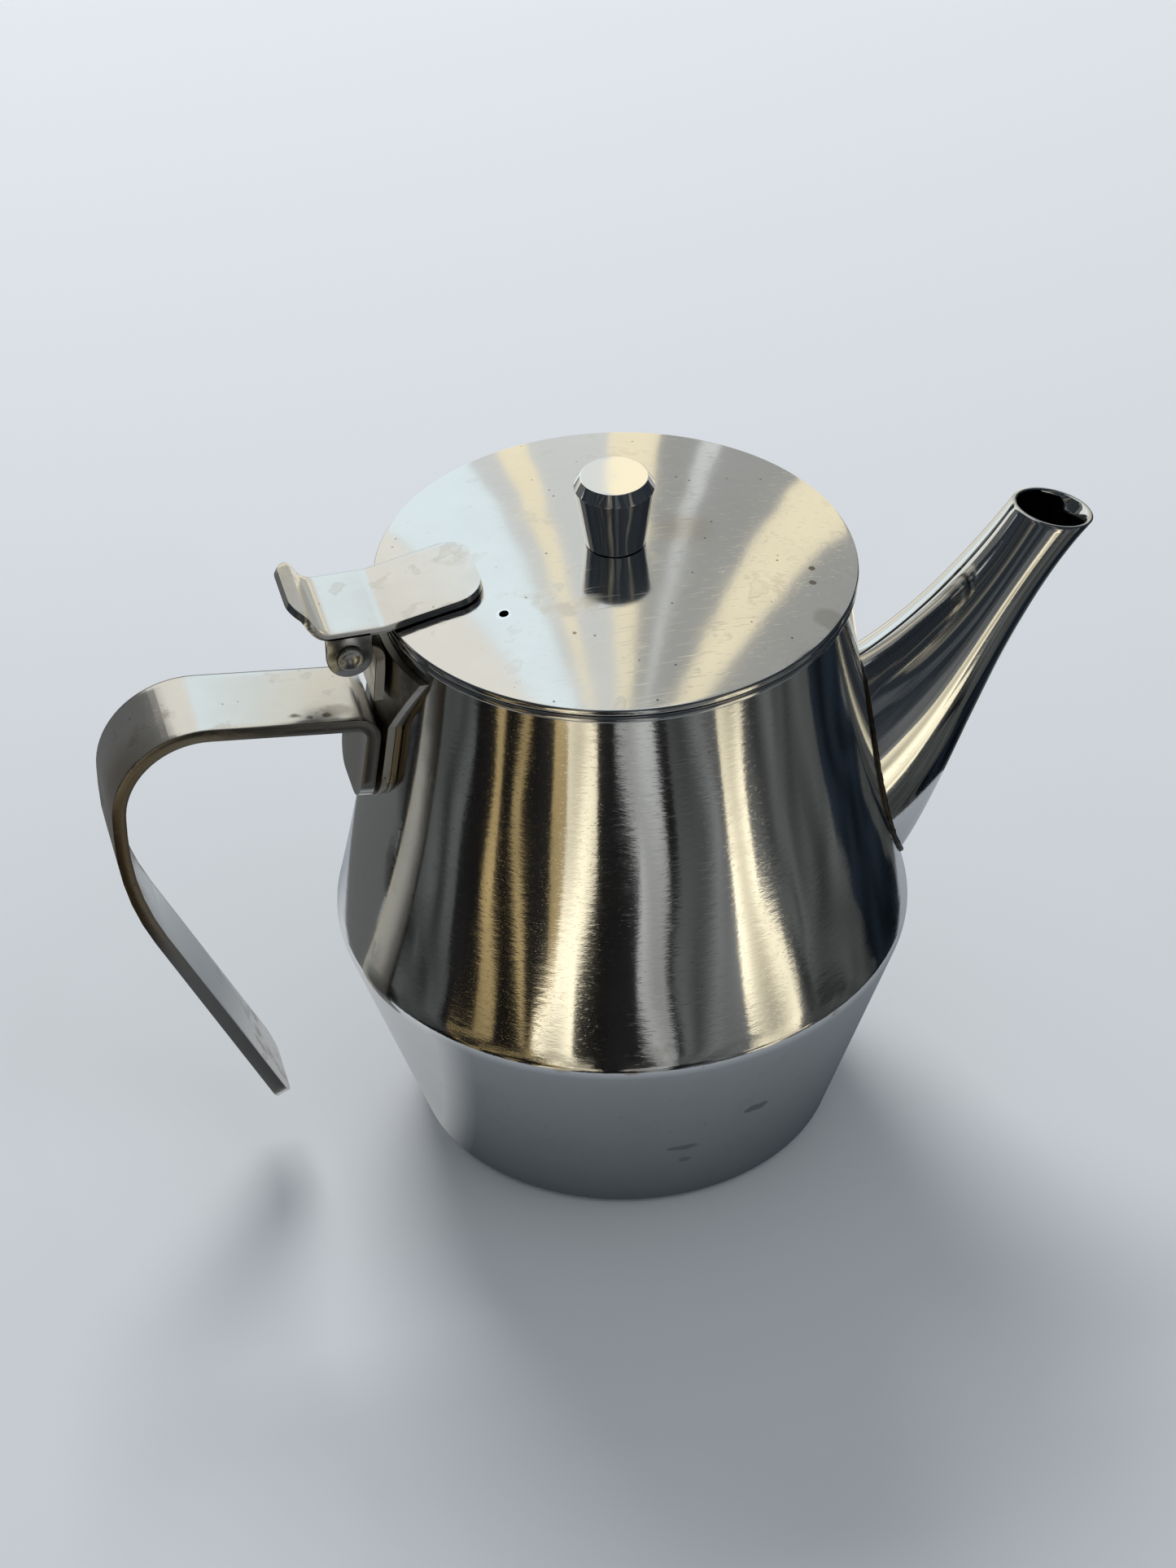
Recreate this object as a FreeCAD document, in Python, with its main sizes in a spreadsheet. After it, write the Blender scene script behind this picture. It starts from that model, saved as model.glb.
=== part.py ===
import FreeCAD, Part
import math
import os

import Sketcher

# A hinged-lid teapot in sheet steel. +Z is up and Z = 0 is the table.
# The pot's axis is Z, the handle and hinge are at -X and the spout is at +X.
doc = FreeCAD.newDocument("Teapot")

# Driving dimensions in millimetres, angles in degrees
DIMENSIONS = {
    # pot
    "base_radius": 40.0,
    "base_round": 2.5,
    "shoulder_radius": 55.4,
    "shoulder_height": 45.0,
    "shoulder_round": 5.5,
    "neck_radius": 43.2,
    "rim_height": 120.0,
    "rim_bead": 1.4,
    "rim_overhang": 1.6,
    "rim_round": 0.6,
    "flank_bow_radius": 565.0,
    "wall": 0.8,
    # strainer holes behind the spout, their middle above the middle of the spout's root
    "strainer_hole": 3.6,
    "strainer_pitch": 6.5,
    "strainer_lift": 4.0,
    # spout: its top line and its bottom line, each from the root to the lip.
    # The root's top and the lip are placed from the rim and the neck, its bottom from the shoulder.
    "spout_wall": 0.9,
    "spout_root_top_drop": 29.6,
    "spout_root_bottom_drop": 0.5,
    "spout_root_sink": 3.0,
    "spout_root_half_width": 15.5,
    "spout_lip_half_width": 7.1,
    "spout_lip_top_reach": 33.9,
    "spout_lip_top_lift": 1.8,
    "spout_lip_bottom_reach": 49.5,
    "spout_lip_bottom_drop": 2.6,
    "spout_top_root_angle": 28.0,
    "spout_top_root_pull": 21.0,
    "spout_bottom_root_angle": 50.0,
    "spout_bottom_root_pull": 18.5,
    "spout_bottom_lip_angle": 46.0,
    "spout_bottom_lip_pull": 29.0,
    "weld_size": 1.4,
    # saddle plate on the neck; each drop is a distance below the rim
    "seat_gap": 0.1,
    "plate_thickness": 1.5,
    "plate_bottom_drop": 38.0,
    "plate_waist_drop": 20.0,
    "plate_top_drop": 5.0,
    "plate_half_width": 9.2,
    "plate_top_half_width": 18.0,
    "plate_round": 6.0,
    # handle strap
    "strap_width": 17.8,
    "strap_thickness": 2.6,
    "tab_drop": 37.5,
    "tab_round": 5.5,
    "strap_drop": 19.1,
    "strap_bend": 3.2,
    "strap_rise_angle": 6.6,
    "handle_reach": 98.5,
    "handle_top_bend": 16.2,
    "handle_waist_drop": 49.0,
    "handle_waist_bend": 58.0,
    "handle_tip_reach": 69.5,
    "handle_tip_height": 14.4,
    "handle_tip_round": 4.0,
    # hinge: the pin is placed from the neck and the rim
    "pin_standoff": 9.3,
    "pin_drop": 2.5,
    "pin_radius": 1.6,
    "pin_head_radius": 2.6,
    "pin_head_height": 0.9,
    "pin_play": 0.08,
    "ear_fit": 0.04,
    "ear_thickness": 1.3,
    "ear_radius": 4.3,
    "ear_play": 0.35,
    "knuckle_wall": 1.5,
    "bracket_thickness": 1.9,
    "bracket_drop": 14.5,
    "bracket_bend": 2.4,
    # hinge leaf, placed from the lid's edge, and its thumb rest, placed from the pin
    "leaf_width": 19.0,
    "leaf_thickness": 1.4,
    "leaf_overlap": 18.5,
    "leaf_touch_inset": 9.0,
    "leaf_knee_beyond": 0.8,
    "leaf_knee_bend": 8.0,
    "leaf_end_round": 5.4,
    "thumb_foot_beyond": 5.2,
    "thumb_foot_bend": 4.2,
    "thumb_crest_beyond": 8.0,
    "thumb_crest_rise": 4.7,
    "thumb_crest_bend": 2.0,
    "thumb_tip_beyond": 10.4,
    "thumb_tip_rise": 6.0,
    "thumb_tip_round": 5.0,
    # lid
    "lid_overhang": 1.8,
    "lid_gap": 0.4,
    "lid_edge_height": 1.3,
    "lid_edge_width": 1.2,
    "lid_edge_round": 0.5,
    "lid_rise": 6.0,
    "lid_sheet": 0.8,
    "vent_radius": 0.9,
    "vent_inset": 16.7,
    "vent_angle": 210.0,
    "ring_clearance": 0.8,
    "ring_sheet": 0.8,
    "ring_depth": 7.0,
    # knob
    "knob_base_radius": 5.65,
    "knob_widest_radius": 7.5,
    "knob_top_radius": 6.3,
    "knob_bevel_height": 2.2,
    "knob_height": 14.2,
    "screw_radius": 2.0,
    "screw_fit": 0.05,
    "screw_hole_depth": 9.0,
    "screw_length": 7.5,
    "screw_head_radius": 3.5,
    "screw_head_height": 2.2,
    "washer_radius": 4.75,
    "washer_thickness": 0.8,
}
sheet = doc.addObject("Spreadsheet::Sheet", "Dims")
for row, (alias, value) in enumerate(DIMENSIONS.items(), start=1):
    sheet.set(f"A{row}", alias)
    sheet.set(f"B{row}", str(value))
    sheet.setAlias(f"B{row}", alias)
doc.recompute()


def dim(alias):
    return f"Dims.{alias}"


def size(expression):
    # The number that an expression has now
    return float(sheet.evalExpression(expression))


# Places that several pieces share, as expressions of the sheet
FLANK_TOP = "(Dims.rim_height - Dims.rim_bead)"
LID_RADIUS = "(Dims.neck_radius + Dims.lid_overhang)"
LID_EDGE_BOTTOM = "(Dims.rim_height + Dims.lid_gap)"
LID_EDGE_TOP = f"({LID_EDGE_BOTTOM} + Dims.lid_edge_height)"
LID_APEX = f"({LID_EDGE_TOP} + Dims.lid_rise)"
DOME_RADIUS = f"(({LID_RADIUS} ^ 2 + Dims.lid_rise ^ 2) / (2 * Dims.lid_rise))"
KNOB_SEAT = f"({LID_APEX} + Dims.seat_gap)"
LID_UNDERSIDE = f"({LID_APEX} - Dims.lid_sheet)"
WASHER_TOP = f"({LID_UNDERSIDE} - Dims.seat_gap)"
PLATE_FACE_OFFSET = "(Dims.seat_gap + Dims.plate_thickness)"
EAR_INNER_FACE = "(Dims.leaf_width / 2 - Dims.ear_thickness)"
PIN_X = "(0 - Dims.neck_radius - Dims.pin_standoff)"


def below_rim(alias):
    return f"(Dims.rim_height - Dims.{alias})"


PIN_Z = below_rim("pin_drop")
SPOUT_ROOT_TOP = below_rim("spout_root_top_drop")
SPOUT_ROOT_BOTTOM = "(Dims.shoulder_height - Dims.spout_root_bottom_drop)"


def flank_radius(height):
    # Outer radius of the pot's hollow flank at a height above the shoulder
    above = f"({height} - Dims.shoulder_height)"
    below = f"({FLANK_TOP} - {height})"
    chord = f"(Dims.neck_radius - Dims.shoulder_radius) * {above} / ({FLANK_TOP} - Dims.shoulder_height)"
    bow = f"{above} * {below} / (2 * Dims.flank_bow_radius)"
    return f"(Dims.shoulder_radius + {chord} - {bow})"


def dome_height(reach):
    # Height of the lid's outer dome at a distance from the axis
    return f"({LID_APEX} - {DOME_RADIUS} + sqrt({DOME_RADIUS} ^ 2 - {reach} ^ 2))"


# Sketch helpers

def origin_plane(body, role):
    return next(feature for feature in body.Origin.OriginFeatures if feature.Role == role)


def new_body(name):
    body = doc.addObject("PartDesign::Body", name)
    body.Label = name
    return body


def new_sketch(body, name, role, offset=None):
    sketch = body.newObject("Sketcher::SketchObject", name)
    sketch.AttachmentSupport = [(origin_plane(body, role), "")]
    sketch.MapMode = "FlatFace"
    if offset:
        sketch.setExpression("AttachmentOffset.Base.z", offset)
    return sketch


def bind(sketch, kind, places, expression):
    # A dimension of the sketch, tied to the sheet
    index = sketch.addConstraint(Sketcher.Constraint(kind, *places, size(expression)))
    name = f"size_{index}"
    sketch.renameConstraint(index, name)
    sketch.setExpression(f"Constraints.{name}", expression)


def pin_point(sketch, geometry, end, across, upward):
    # Hold a point at a place given by two expressions
    bind(sketch, "DistanceX", (-1, 1, geometry, end), across)
    bind(sketch, "DistanceY", (-1, 1, geometry, end), upward)


def rounded_corner(before, corner, after, radius):
    # Tangent points and centre of an arc that rounds a corner
    to_before = (before - corner).normalize()
    to_after = (after - corner).normalize()
    half_angle = to_before.getAngle(to_after) / 2
    run = radius / math.tan(half_angle)
    middle = (to_before + to_after).normalize()
    centre = corner + middle * (radius / math.sin(half_angle))
    return corner + to_before * run, corner + to_after * run, centre


def arc_between(start, end, centre):
    # The shorter arc from start to end; the second result says which end of it is the start
    radius = (start - centre).Length
    first = math.atan2(start.y - centre.y, start.x - centre.x)
    last = math.atan2(end.y - centre.y, end.x - centre.x)
    turn = (last - first) % (2 * math.pi)
    circle = Part.Circle(centre, FreeCAD.Vector(0, 0, 1), radius)
    if turn <= math.pi:
        return Part.ArcOfCircle(circle, first, first + turn), (1, 2)
    return Part.ArcOfCircle(circle, last, last + 2 * math.pi - turn), (2, 1)


def draw(sketch, corners, closed=True, bowed=None):
    # Lines through the corners, each an (across, upward[, rounding radius]) of expressions.
    # bowed maps a line's number to (radius, side): that line is an arc, bowed to the side given.
    bowed = bowed or {}
    points = [FreeCAD.Vector(size(corner[0]), size(corner[1]), 0) for corner in corners]
    count = len(points)
    rounds = {}
    for i, corner in enumerate(corners):
        if len(corner) == 3:
            rounds[i] = rounded_corner(points[i - 1], points[i], points[(i + 1) % count], size(corner[2]))
    ends = []
    for i in range(count if closed else count - 1):
        after = (i + 1) % count
        start = rounds[i][1] if i in rounds else points[i]
        end = rounds[after][0] if after in rounds else points[after]
        if i in bowed:
            radius, side = size(bowed[i][0]), bowed[i][1]
            middle = (start + end) * 0.5
            square = FreeCAD.Vector(start.y - end.y, end.x - start.x, 0).normalize()
            reach = math.sqrt(radius ** 2 - ((end - start).Length / 2) ** 2)
            shape, order = arc_between(start, end, middle - square * (reach * side))
            geometry = sketch.addGeometry(shape, False)
            bind(sketch, "Radius", (geometry,), bowed[i][0])
        else:
            geometry = sketch.addGeometry(Part.LineSegment(start, end), False)
            order = (1, 2)
        ends.append((geometry, order))
    for i, corner in enumerate(corners):
        if not closed and i == 0:
            pin_point(sketch, ends[0][0], ends[0][1][0], corner[0], corner[1])
            continue
        if not closed and i == count - 1:
            pin_point(sketch, ends[-1][0], ends[-1][1][1], corner[0], corner[1])
            continue
        incoming, incoming_end = ends[i - 1][0], ends[i - 1][1][1]
        outgoing, outgoing_end = ends[i][0], ends[i][1][0]
        if i in rounds:
            shape, order = arc_between(*rounds[i])
            arc = sketch.addGeometry(shape, False)
            sketch.addConstraint(Sketcher.Constraint("Tangent", incoming, incoming_end, arc, order[0]))
            sketch.addConstraint(Sketcher.Constraint("Tangent", arc, order[1], outgoing, outgoing_end))
            bind(sketch, "Radius", (arc,), corner[2])
            mark = sketch.addGeometry(Part.Point(points[i]), True)
            sketch.addConstraint(Sketcher.Constraint("PointOnObject", mark, 1, incoming))
            sketch.addConstraint(Sketcher.Constraint("PointOnObject", mark, 1, outgoing))
            pin_point(sketch, mark, 1, corner[0], corner[1])
        else:
            sketch.addConstraint(
                Sketcher.Constraint("Coincident", incoming, incoming_end, outgoing, outgoing_end))
            pin_point(sketch, outgoing, outgoing_end, corner[0], corner[1])


def draw_circle(sketch, across, upward, radius):
    centre = FreeCAD.Vector(size(across), size(upward), 0)
    circle = sketch.addGeometry(Part.Circle(centre, FreeCAD.Vector(0, 0, 1), size(radius)), False)
    pin_point(sketch, circle, 3, across, upward)
    bind(sketch, "Radius", (circle,), radius)


def revolve(body, name, corners, bowed=None):
    # A turned or spun form: an outline in the XZ plane, turned about Z
    sketch = new_sketch(body, name + "_outline", "XZ_Plane")
    draw(sketch, corners, bowed=bowed)
    turned = body.newObject("PartDesign::Revolution", name)
    turned.Profile = sketch
    turned.ReferenceAxis = (sketch, ["V_Axis"])
    turned.Angle = 360
    doc.recompute()
    return turned


def pad(body, name, sketch, length, both_sides=False):
    feature = body.newObject("PartDesign::Pad", name)
    feature.Profile = sketch
    feature.setExpression("Length", length)
    feature.Midplane = both_sides
    doc.recompute()
    return feature


def cut_through(body, name, sketch, both_ways=False, backwards=False):
    # Cut the outline through everything, and make sure that it took material away
    before = body.Shape.Volume
    feature = body.newObject("PartDesign::Pocket", name)
    feature.Profile = sketch
    feature.Type = "ThroughAll"
    feature.Midplane = both_ways
    feature.Reversed = backwards
    doc.recompute()
    if body.Shape.Volume >= before:
        raise RuntimeError(f"{name} cuts nothing")
    return feature


def bent_strip(body, name, path_corners, profile_role, profile_offset, profile_corners):
    # A flat strip that follows a bent path in the XZ plane
    path = new_sketch(body, name + "_path", "XZ_Plane")
    draw(path, path_corners, closed=False)
    section = new_sketch(body, name + "_section", profile_role, profile_offset)
    draw(section, profile_corners)
    doc.recompute()
    strip = body.newObject("PartDesign::AdditivePipe", name)
    strip.Profile = section
    strip.Spine = (path, [f"Edge{i + 1}" for i in range(len(path.Shape.Edges))])
    doc.recompute()
    return strip


def round_edges(body, name, radius, wanted):
    # Fillet the edges of the body's last feature for which wanted(edge) holds
    tip = body.Tip
    edges = [f"Edge{i + 1}" for i, edge in enumerate(tip.Shape.Edges) if wanted(edge)]
    if not edges:
        raise RuntimeError(f"{name} found no edges")
    fillet = body.newObject("PartDesign::Fillet", name)
    fillet.Base = (tip, edges)
    fillet.setExpression("Radius", radius)
    doc.recompute()
    return fillet


MATCH_TOLERANCE = 0.01


def near(value, expression):
    return abs(value - size(expression)) < MATCH_TOLERANCE


def is_ring(edge, radius, height):
    # A full circle about the axis
    is_circle = not edge.Degenerated and isinstance(edge.Curve, Part.Circle)
    return is_circle and near(edge.Curve.Radius, radius) and near(edge.Curve.Center.z, height)


def rectangle(across_low, across_high, upward_low, upward_high):
    return [(across_low, upward_low), (across_high, upward_low),
            (across_high, upward_high), (across_low, upward_high)]


def boolean(kind, name, base, tool):
    feature = doc.addObject(kind, name)
    feature.Base = base
    feature.Tool = tool
    doc.recompute()
    feature.Label = name
    return feature


# Pot body: the same form, grown or shrunk, also cuts whatever is fitted to the pot's outside

def pot_form(name, growth, top):
    body = new_body(name)
    floor = f"(0 - ({growth}))"
    neck = f"(Dims.neck_radius + ({growth}))"
    shoulder = f"(Dims.shoulder_radius + ({growth}))"
    base = f"(Dims.base_radius + ({growth}))"
    corners = [("0", floor), (base, floor), (shoulder, dim("shoulder_height")), (neck, FLANK_TOP)]
    if top != FLANK_TOP:
        corners.append((neck, top))
    corners.append(("0", top))
    revolve(body, name + "_turned", corners, bowed={2: (dim("flank_bow_radius"), 1)})
    round_edges(body, name + "_shoulder", dim("shoulder_round"),
                lambda edge: is_ring(edge, shoulder, dim("shoulder_height")))
    round_edges(body, name + "_corner", f"(Dims.base_round + ({growth}))",
                lambda edge: is_ring(edge, base, floor))
    return body


outer_form = pot_form("outer_form", "0", FLANK_TOP)
inner_form = pot_form("inner_form", "0 - Dims.wall", "(Dims.rim_height + Dims.rim_bead)")
plate_form = pot_form("plate_form", PLATE_FACE_OFFSET, dim("rim_height"))
seat_form = pot_form("seat_form", dim("seat_gap"), dim("rim_height"))
weld_form = pot_form("weld_form", dim("weld_size"), dim("rim_height"))

# Rolled rim: a rounded ring on the neck's upper end
rim = new_body("rim")
rim_inside = "(Dims.neck_radius - Dims.wall)"
rim_outside = "(Dims.neck_radius + Dims.rim_overhang)"
revolve(rim, "rim_turned", [
    (rim_inside, FLANK_TOP),
    (rim_outside, FLANK_TOP, dim("rim_round")),
    (rim_outside, dim("rim_height"), dim("rim_round")),
    (rim_inside, dim("rim_height")),
])

# Strainer holes: five staggered rows of three and two
STRAINER_ROWS = 5
STRAINER_COLUMNS = 3
ROW_SHARE = math.sqrt(3) / 2
strainer = new_body("strainer_pins")
strainer_sketch = new_sketch(strainer, "strainer_sketch", "YZ_Plane")
strainer_height = f"(({SPOUT_ROOT_TOP} + {SPOUT_ROOT_BOTTOM}) / 2 + Dims.strainer_lift)"
for row in range(STRAINER_ROWS):
    columns = STRAINER_COLUMNS - row % 2
    row_place = (row - (STRAINER_ROWS - 1) / 2) * ROW_SHARE
    upward = f"{strainer_height} + ({row_place}) * Dims.strainer_pitch"
    for column in range(columns):
        across = f"({column - (columns - 1) / 2}) * Dims.strainer_pitch"
        draw_circle(strainer_sketch, across, upward, "Dims.strainer_hole / 2")
pad(strainer, "strainer_pad", strainer_sketch, "Dims.shoulder_radius + Dims.wall")

pot_hollow = boolean("Part::Cut", "pot_hollow", outer_form, inner_form)
pot_with_rim = boolean("Part::Fuse", "pot_with_rim", pot_hollow, rim)
body_shell = boolean("Part::Cut", "body_shell", pot_with_rim, strainer)


# Spout: ovals between a top line and a bottom line, which are Bezier curves in the XZ plane

def polar(angle, length):
    radians = math.radians(angle)
    return FreeCAD.Vector(length * math.cos(radians), 0, length * math.sin(radians))


def bezier(points, share):
    # De Casteljau's construction
    while len(points) > 1:
        points = [a + (b - a) * share for a, b in zip(points, points[1:])]
    return points[0]


def spout_lines():
    # Control points of the top line and the bottom line
    value = {alias: size(dim(alias)) for alias in DIMENSIONS if alias.startswith("spout_")}
    neck = size("Dims.neck_radius")
    rim_height = size("Dims.rim_height")
    top_x = size(flank_radius(SPOUT_ROOT_TOP)) - value["spout_root_sink"]
    bottom_x = size("Dims.shoulder_radius") - value["spout_root_sink"]
    root_top = FreeCAD.Vector(top_x, 0, size(SPOUT_ROOT_TOP))
    root_bottom = FreeCAD.Vector(bottom_x, 0, size(SPOUT_ROOT_BOTTOM))
    lip_top = FreeCAD.Vector(
        neck + value["spout_lip_top_reach"], 0, rim_height + value["spout_lip_top_lift"])
    lip_bottom = FreeCAD.Vector(
        neck + value["spout_lip_bottom_reach"], 0, rim_height - value["spout_lip_bottom_drop"])
    top_pull = root_top + polar(value["spout_top_root_angle"], value["spout_top_root_pull"])
    root_pull = root_bottom + polar(value["spout_bottom_root_angle"], value["spout_bottom_root_pull"])
    lip_pull = lip_bottom - polar(value["spout_bottom_lip_angle"], value["spout_bottom_lip_pull"])
    return [root_top, top_pull, lip_top], [root_bottom, root_pull, lip_pull, lip_bottom]


SPOUT_SECTIONS = 9
QUARTER_STEPS = 4
SPOUT_NARROWING = 1.3


def oval(centre, tall, wide):
    # A closed oval of four quarters, from its half axes
    shares = [step / QUARTER_STEPS for step in range(QUARTER_STEPS + 1)]
    quarters = []
    for quarter in range(4):
        turns = [math.pi / 2 * (quarter + share) for share in shares]
        points = [centre + tall * math.cos(turn) + wide * math.sin(turn) for turn in turns]
        ways = [wide * math.cos(turn) - tall * math.sin(turn) for turn in turns]
        curve = Part.BSplineCurve()
        curve.interpolate(Points=points, InitialTangent=ways[0], FinalTangent=ways[-1], Parameters=shares)
        quarters.append(curve.toShape())
    return Part.Wire(quarters)


def spout_loft(name, growth, last):
    # The spout's form, grown by an amount, from the root to a share of its length
    top_line, bottom_line = spout_lines()
    root_half = size("Dims.spout_root_half_width")
    lip_half = size("Dims.spout_lip_half_width")
    wires = []
    for i in range(SPOUT_SECTIONS):
        share = last * i / (SPOUT_SECTIONS - 1)
        top = bezier(top_line, share)
        bottom = bezier(bottom_line, share)
        centre = (top + bottom) * 0.5
        tall = (top - bottom).Length / 2 + growth
        narrowing = max(0.0, 1 - share) ** SPOUT_NARROWING
        wide = lip_half + (root_half - lip_half) * narrowing + growth
        tall_way = (top - bottom).normalize()
        wires.append(oval(centre, tall_way * tall, FreeCAD.Vector(0, wide, 0)))
    feature = doc.addObject("Part::Feature", name)
    feature.Shape = Part.makeLoft(wires, True, False)
    feature.Placement = FreeCAD.Placement()
    feature.Label = name
    return feature


LIP_SHARE = 1.0
PAST_LIP_SHARE = 1.05
spout_outer = spout_loft("spout_outer", 0.0, LIP_SHARE)
spout_bore = spout_loft("spout_bore", -size("Dims.spout_wall"), PAST_LIP_SHARE)
spout_weld_outer = spout_loft("spout_weld_outer", size("Dims.weld_size"), LIP_SHARE)

spout_tube = boolean("Part::Cut", "spout_tube", spout_outer, spout_bore)
spout = boolean("Part::Cut", "spout", spout_tube, outer_form)
weld_ring = boolean("Part::Cut", "weld_ring", spout_weld_outer, spout_outer)
weld_near_pot = boolean("Part::Common", "weld_near_pot", weld_ring, weld_form)
spout_weld = boolean("Part::Cut", "spout_weld", weld_near_pot, outer_form)

# Saddle plate: a fan-shaped piece of sheet that lies on the neck
plate_fan = new_body("plate_fan")
fan_sketch = new_sketch(plate_fan, "fan_sketch", "YZ_Plane")
half = dim("plate_half_width")
top_half = dim("plate_top_half_width")
plate_bottom = below_rim("plate_bottom_drop")
plate_waist = below_rim("plate_waist_drop")
plate_top = below_rim("plate_top_drop")
draw(fan_sketch, [
    (f"0 - {half}", plate_bottom, dim("plate_round")),
    (half, plate_bottom, dim("plate_round")),
    (half, plate_waist),
    (top_half, plate_top),
    (f"0 - {top_half}", plate_top),
    (f"0 - {half}", plate_waist),
])
fan = pad(plate_fan, "fan_pad", fan_sketch, "Dims.shoulder_radius + Dims.plate_thickness")
fan.Reversed = True
doc.recompute()
plate_skin = boolean("Part::Cut", "plate_skin", plate_form, seat_form)
saddle_plate = boolean("Part::Common", "saddle_plate", plate_skin, plate_fan)


def on_plate(height, thickness):
    # X of the middle of a strip that lies on the saddle plate at a height
    return f"(0 - {flank_radius(height)} - {PLATE_FACE_OFFSET} - Dims.seat_gap - {thickness} / 2)"


# Handle: a flat strap, from its tab on the saddle plate over the top to its free end
handle_strap = new_body("handle_strap")
strap = dim("strap_thickness")
tab_bottom = below_rim("tab_drop")
strap_height = below_rim("strap_drop")
tab_x = on_plate(tab_bottom, strap)
bend_x = on_plate(strap_height, strap)
back_x = f"({strap} / 2 - Dims.handle_reach)"
corner_z = f"({strap_height} + ({bend_x} - {back_x}) * tan(Dims.strap_rise_angle * 1deg))"
tip_x = "(0 - Dims.handle_tip_reach)"
bent_strip(
    handle_strap, "strap",
    [
        (tab_x, tab_bottom),
        (bend_x, strap_height, dim("strap_bend")),
        (back_x, corner_z, dim("handle_top_bend")),
        (back_x, below_rim("handle_waist_drop"), dim("handle_waist_bend")),
        (tip_x, dim("handle_tip_height")),
    ],
    "XY_Plane", tab_bottom,
    rectangle(f"({tab_x} - {strap} / 2)", f"({tab_x} + {strap} / 2)",
              "(0 - Dims.strap_width / 2)", "(Dims.strap_width / 2)"))

SHORT_EDGE = 1.5


def strip_corner(height, thickness):
    # Picks the short edges through a strip's thickness that lie within a thickness of a height
    return lambda edge: (abs(edge.CenterOfMass.z - size(height)) < size(thickness)
                         and edge.Length < SHORT_EDGE * size(thickness))


round_edges(handle_strap, "tab_corners", dim("tab_round"), strip_corner(tab_bottom, strap))
round_edges(handle_strap, "tip_corners", dim("handle_tip_round"),
            strip_corner(dim("handle_tip_height"), strap))

# Hinge bracket: a strip that stands on the saddle plate and ends in the knuckle round the pin
hinge_bracket = new_body("hinge_bracket")
bracket = dim("bracket_thickness")
bracket_bottom = below_rim("bracket_drop")
foot_x = on_plate(bracket_bottom, bracket)
head_x = on_plate(plate_top, bracket)
knuckle_half = f"({EAR_INNER_FACE} - Dims.ear_play)"
bore_radius = "(Dims.pin_radius + Dims.pin_play)"
bent_strip(
    hinge_bracket, "bracket",
    [
        (foot_x, bracket_bottom),
        (head_x, PIN_Z, dim("bracket_bend")),
        (PIN_X, PIN_Z),
    ],
    "XY_Plane", bracket_bottom,
    rectangle(f"({foot_x} - {bracket} / 2)", f"({foot_x} + {bracket} / 2)",
              f"(0 - {knuckle_half})", knuckle_half))
knuckle_sketch = new_sketch(hinge_bracket, "knuckle_sketch", "XZ_Plane")
draw_circle(knuckle_sketch, PIN_X, PIN_Z, f"({bore_radius} + Dims.knuckle_wall)")
pad(hinge_bracket, "knuckle", knuckle_sketch, f"2 * {knuckle_half}", both_sides=True)
bore_sketch = new_sketch(hinge_bracket, "bore_sketch", "XZ_Plane")
draw_circle(bore_sketch, PIN_X, PIN_Z, bore_radius)
cut_through(hinge_bracket, "knuckle_bore", bore_sketch, both_ways=True)

# Hinge pin: a rivet with a head outside each ear
hinge_pin = new_body("hinge_pin")
shank_sketch = new_sketch(hinge_pin, "shank_sketch", "XZ_Plane")
draw_circle(shank_sketch, PIN_X, PIN_Z, dim("pin_radius"))
pad(hinge_pin, "shank", shank_sketch, "Dims.leaf_width + 2 * Dims.seat_gap", both_sides=True)
head_sketch = new_sketch(hinge_pin, "head_sketch", "XZ_Plane", "Dims.leaf_width / 2 + Dims.seat_gap / 2")
draw_circle(head_sketch, PIN_X, PIN_Z, dim("pin_head_radius"))
head = pad(hinge_pin, "pin_head", head_sketch, dim("pin_head_height"))
heads = hinge_pin.newObject("PartDesign::Mirrored", "pin_heads")
heads.Originals = [head]
heads.MirrorPlane = (origin_plane(hinge_pin, "XZ_Plane"), [""])
hinge_pin.Tip = heads
doc.recompute()

# Hinge leaf: it lies along the lid's dome, runs level past the lid's edge and curls up as a thumb rest
hinge_leaf = new_body("hinge_leaf")
leaf = dim("leaf_thickness")
leaf_half = "(Dims.leaf_width / 2)"
inner_reach = f"({LID_RADIUS} - Dims.leaf_overlap)"
touch_reach = f"({LID_RADIUS} - Dims.leaf_touch_inset)"
knee_reach = f"({LID_RADIUS} + Dims.leaf_knee_beyond)"
dome_slope = f"({touch_reach} / sqrt({DOME_RADIUS} ^ 2 - {touch_reach} ^ 2))"


def leaf_height(reach):
    # Middle of the leaf's sheet where it lies along the dome, which it touches at one reach
    lift = f"(Dims.seat_gap + {leaf} / 2)"
    return f"({dome_height(touch_reach)} + {lift} + ({touch_reach} - {reach}) * {dome_slope})"


leaf_level = leaf_height(knee_reach)
leaf_start = leaf_height(inner_reach)
leaf_end_x = f"(0 - {inner_reach})"
thumb_tip_x = f"({PIN_X} - Dims.thumb_tip_beyond)"
bent_strip(
    hinge_leaf, "leaf",
    [
        (leaf_end_x, leaf_start),
        (f"(0 - {knee_reach})", leaf_level, dim("leaf_knee_bend")),
        (f"({PIN_X} - Dims.thumb_foot_beyond)", leaf_level, dim("thumb_foot_bend")),
        (f"({PIN_X} - Dims.thumb_crest_beyond)", f"({leaf_level} + Dims.thumb_crest_rise)",
         dim("thumb_crest_bend")),
        (thumb_tip_x, f"({leaf_level} + Dims.thumb_tip_rise)"),
    ],
    "YZ_Plane", leaf_end_x,
    rectangle(f"(0 - {leaf_half})", leaf_half,
              f"({leaf_start} - {leaf} / 2)", f"({leaf_start} + {leaf} / 2)"))


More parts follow.
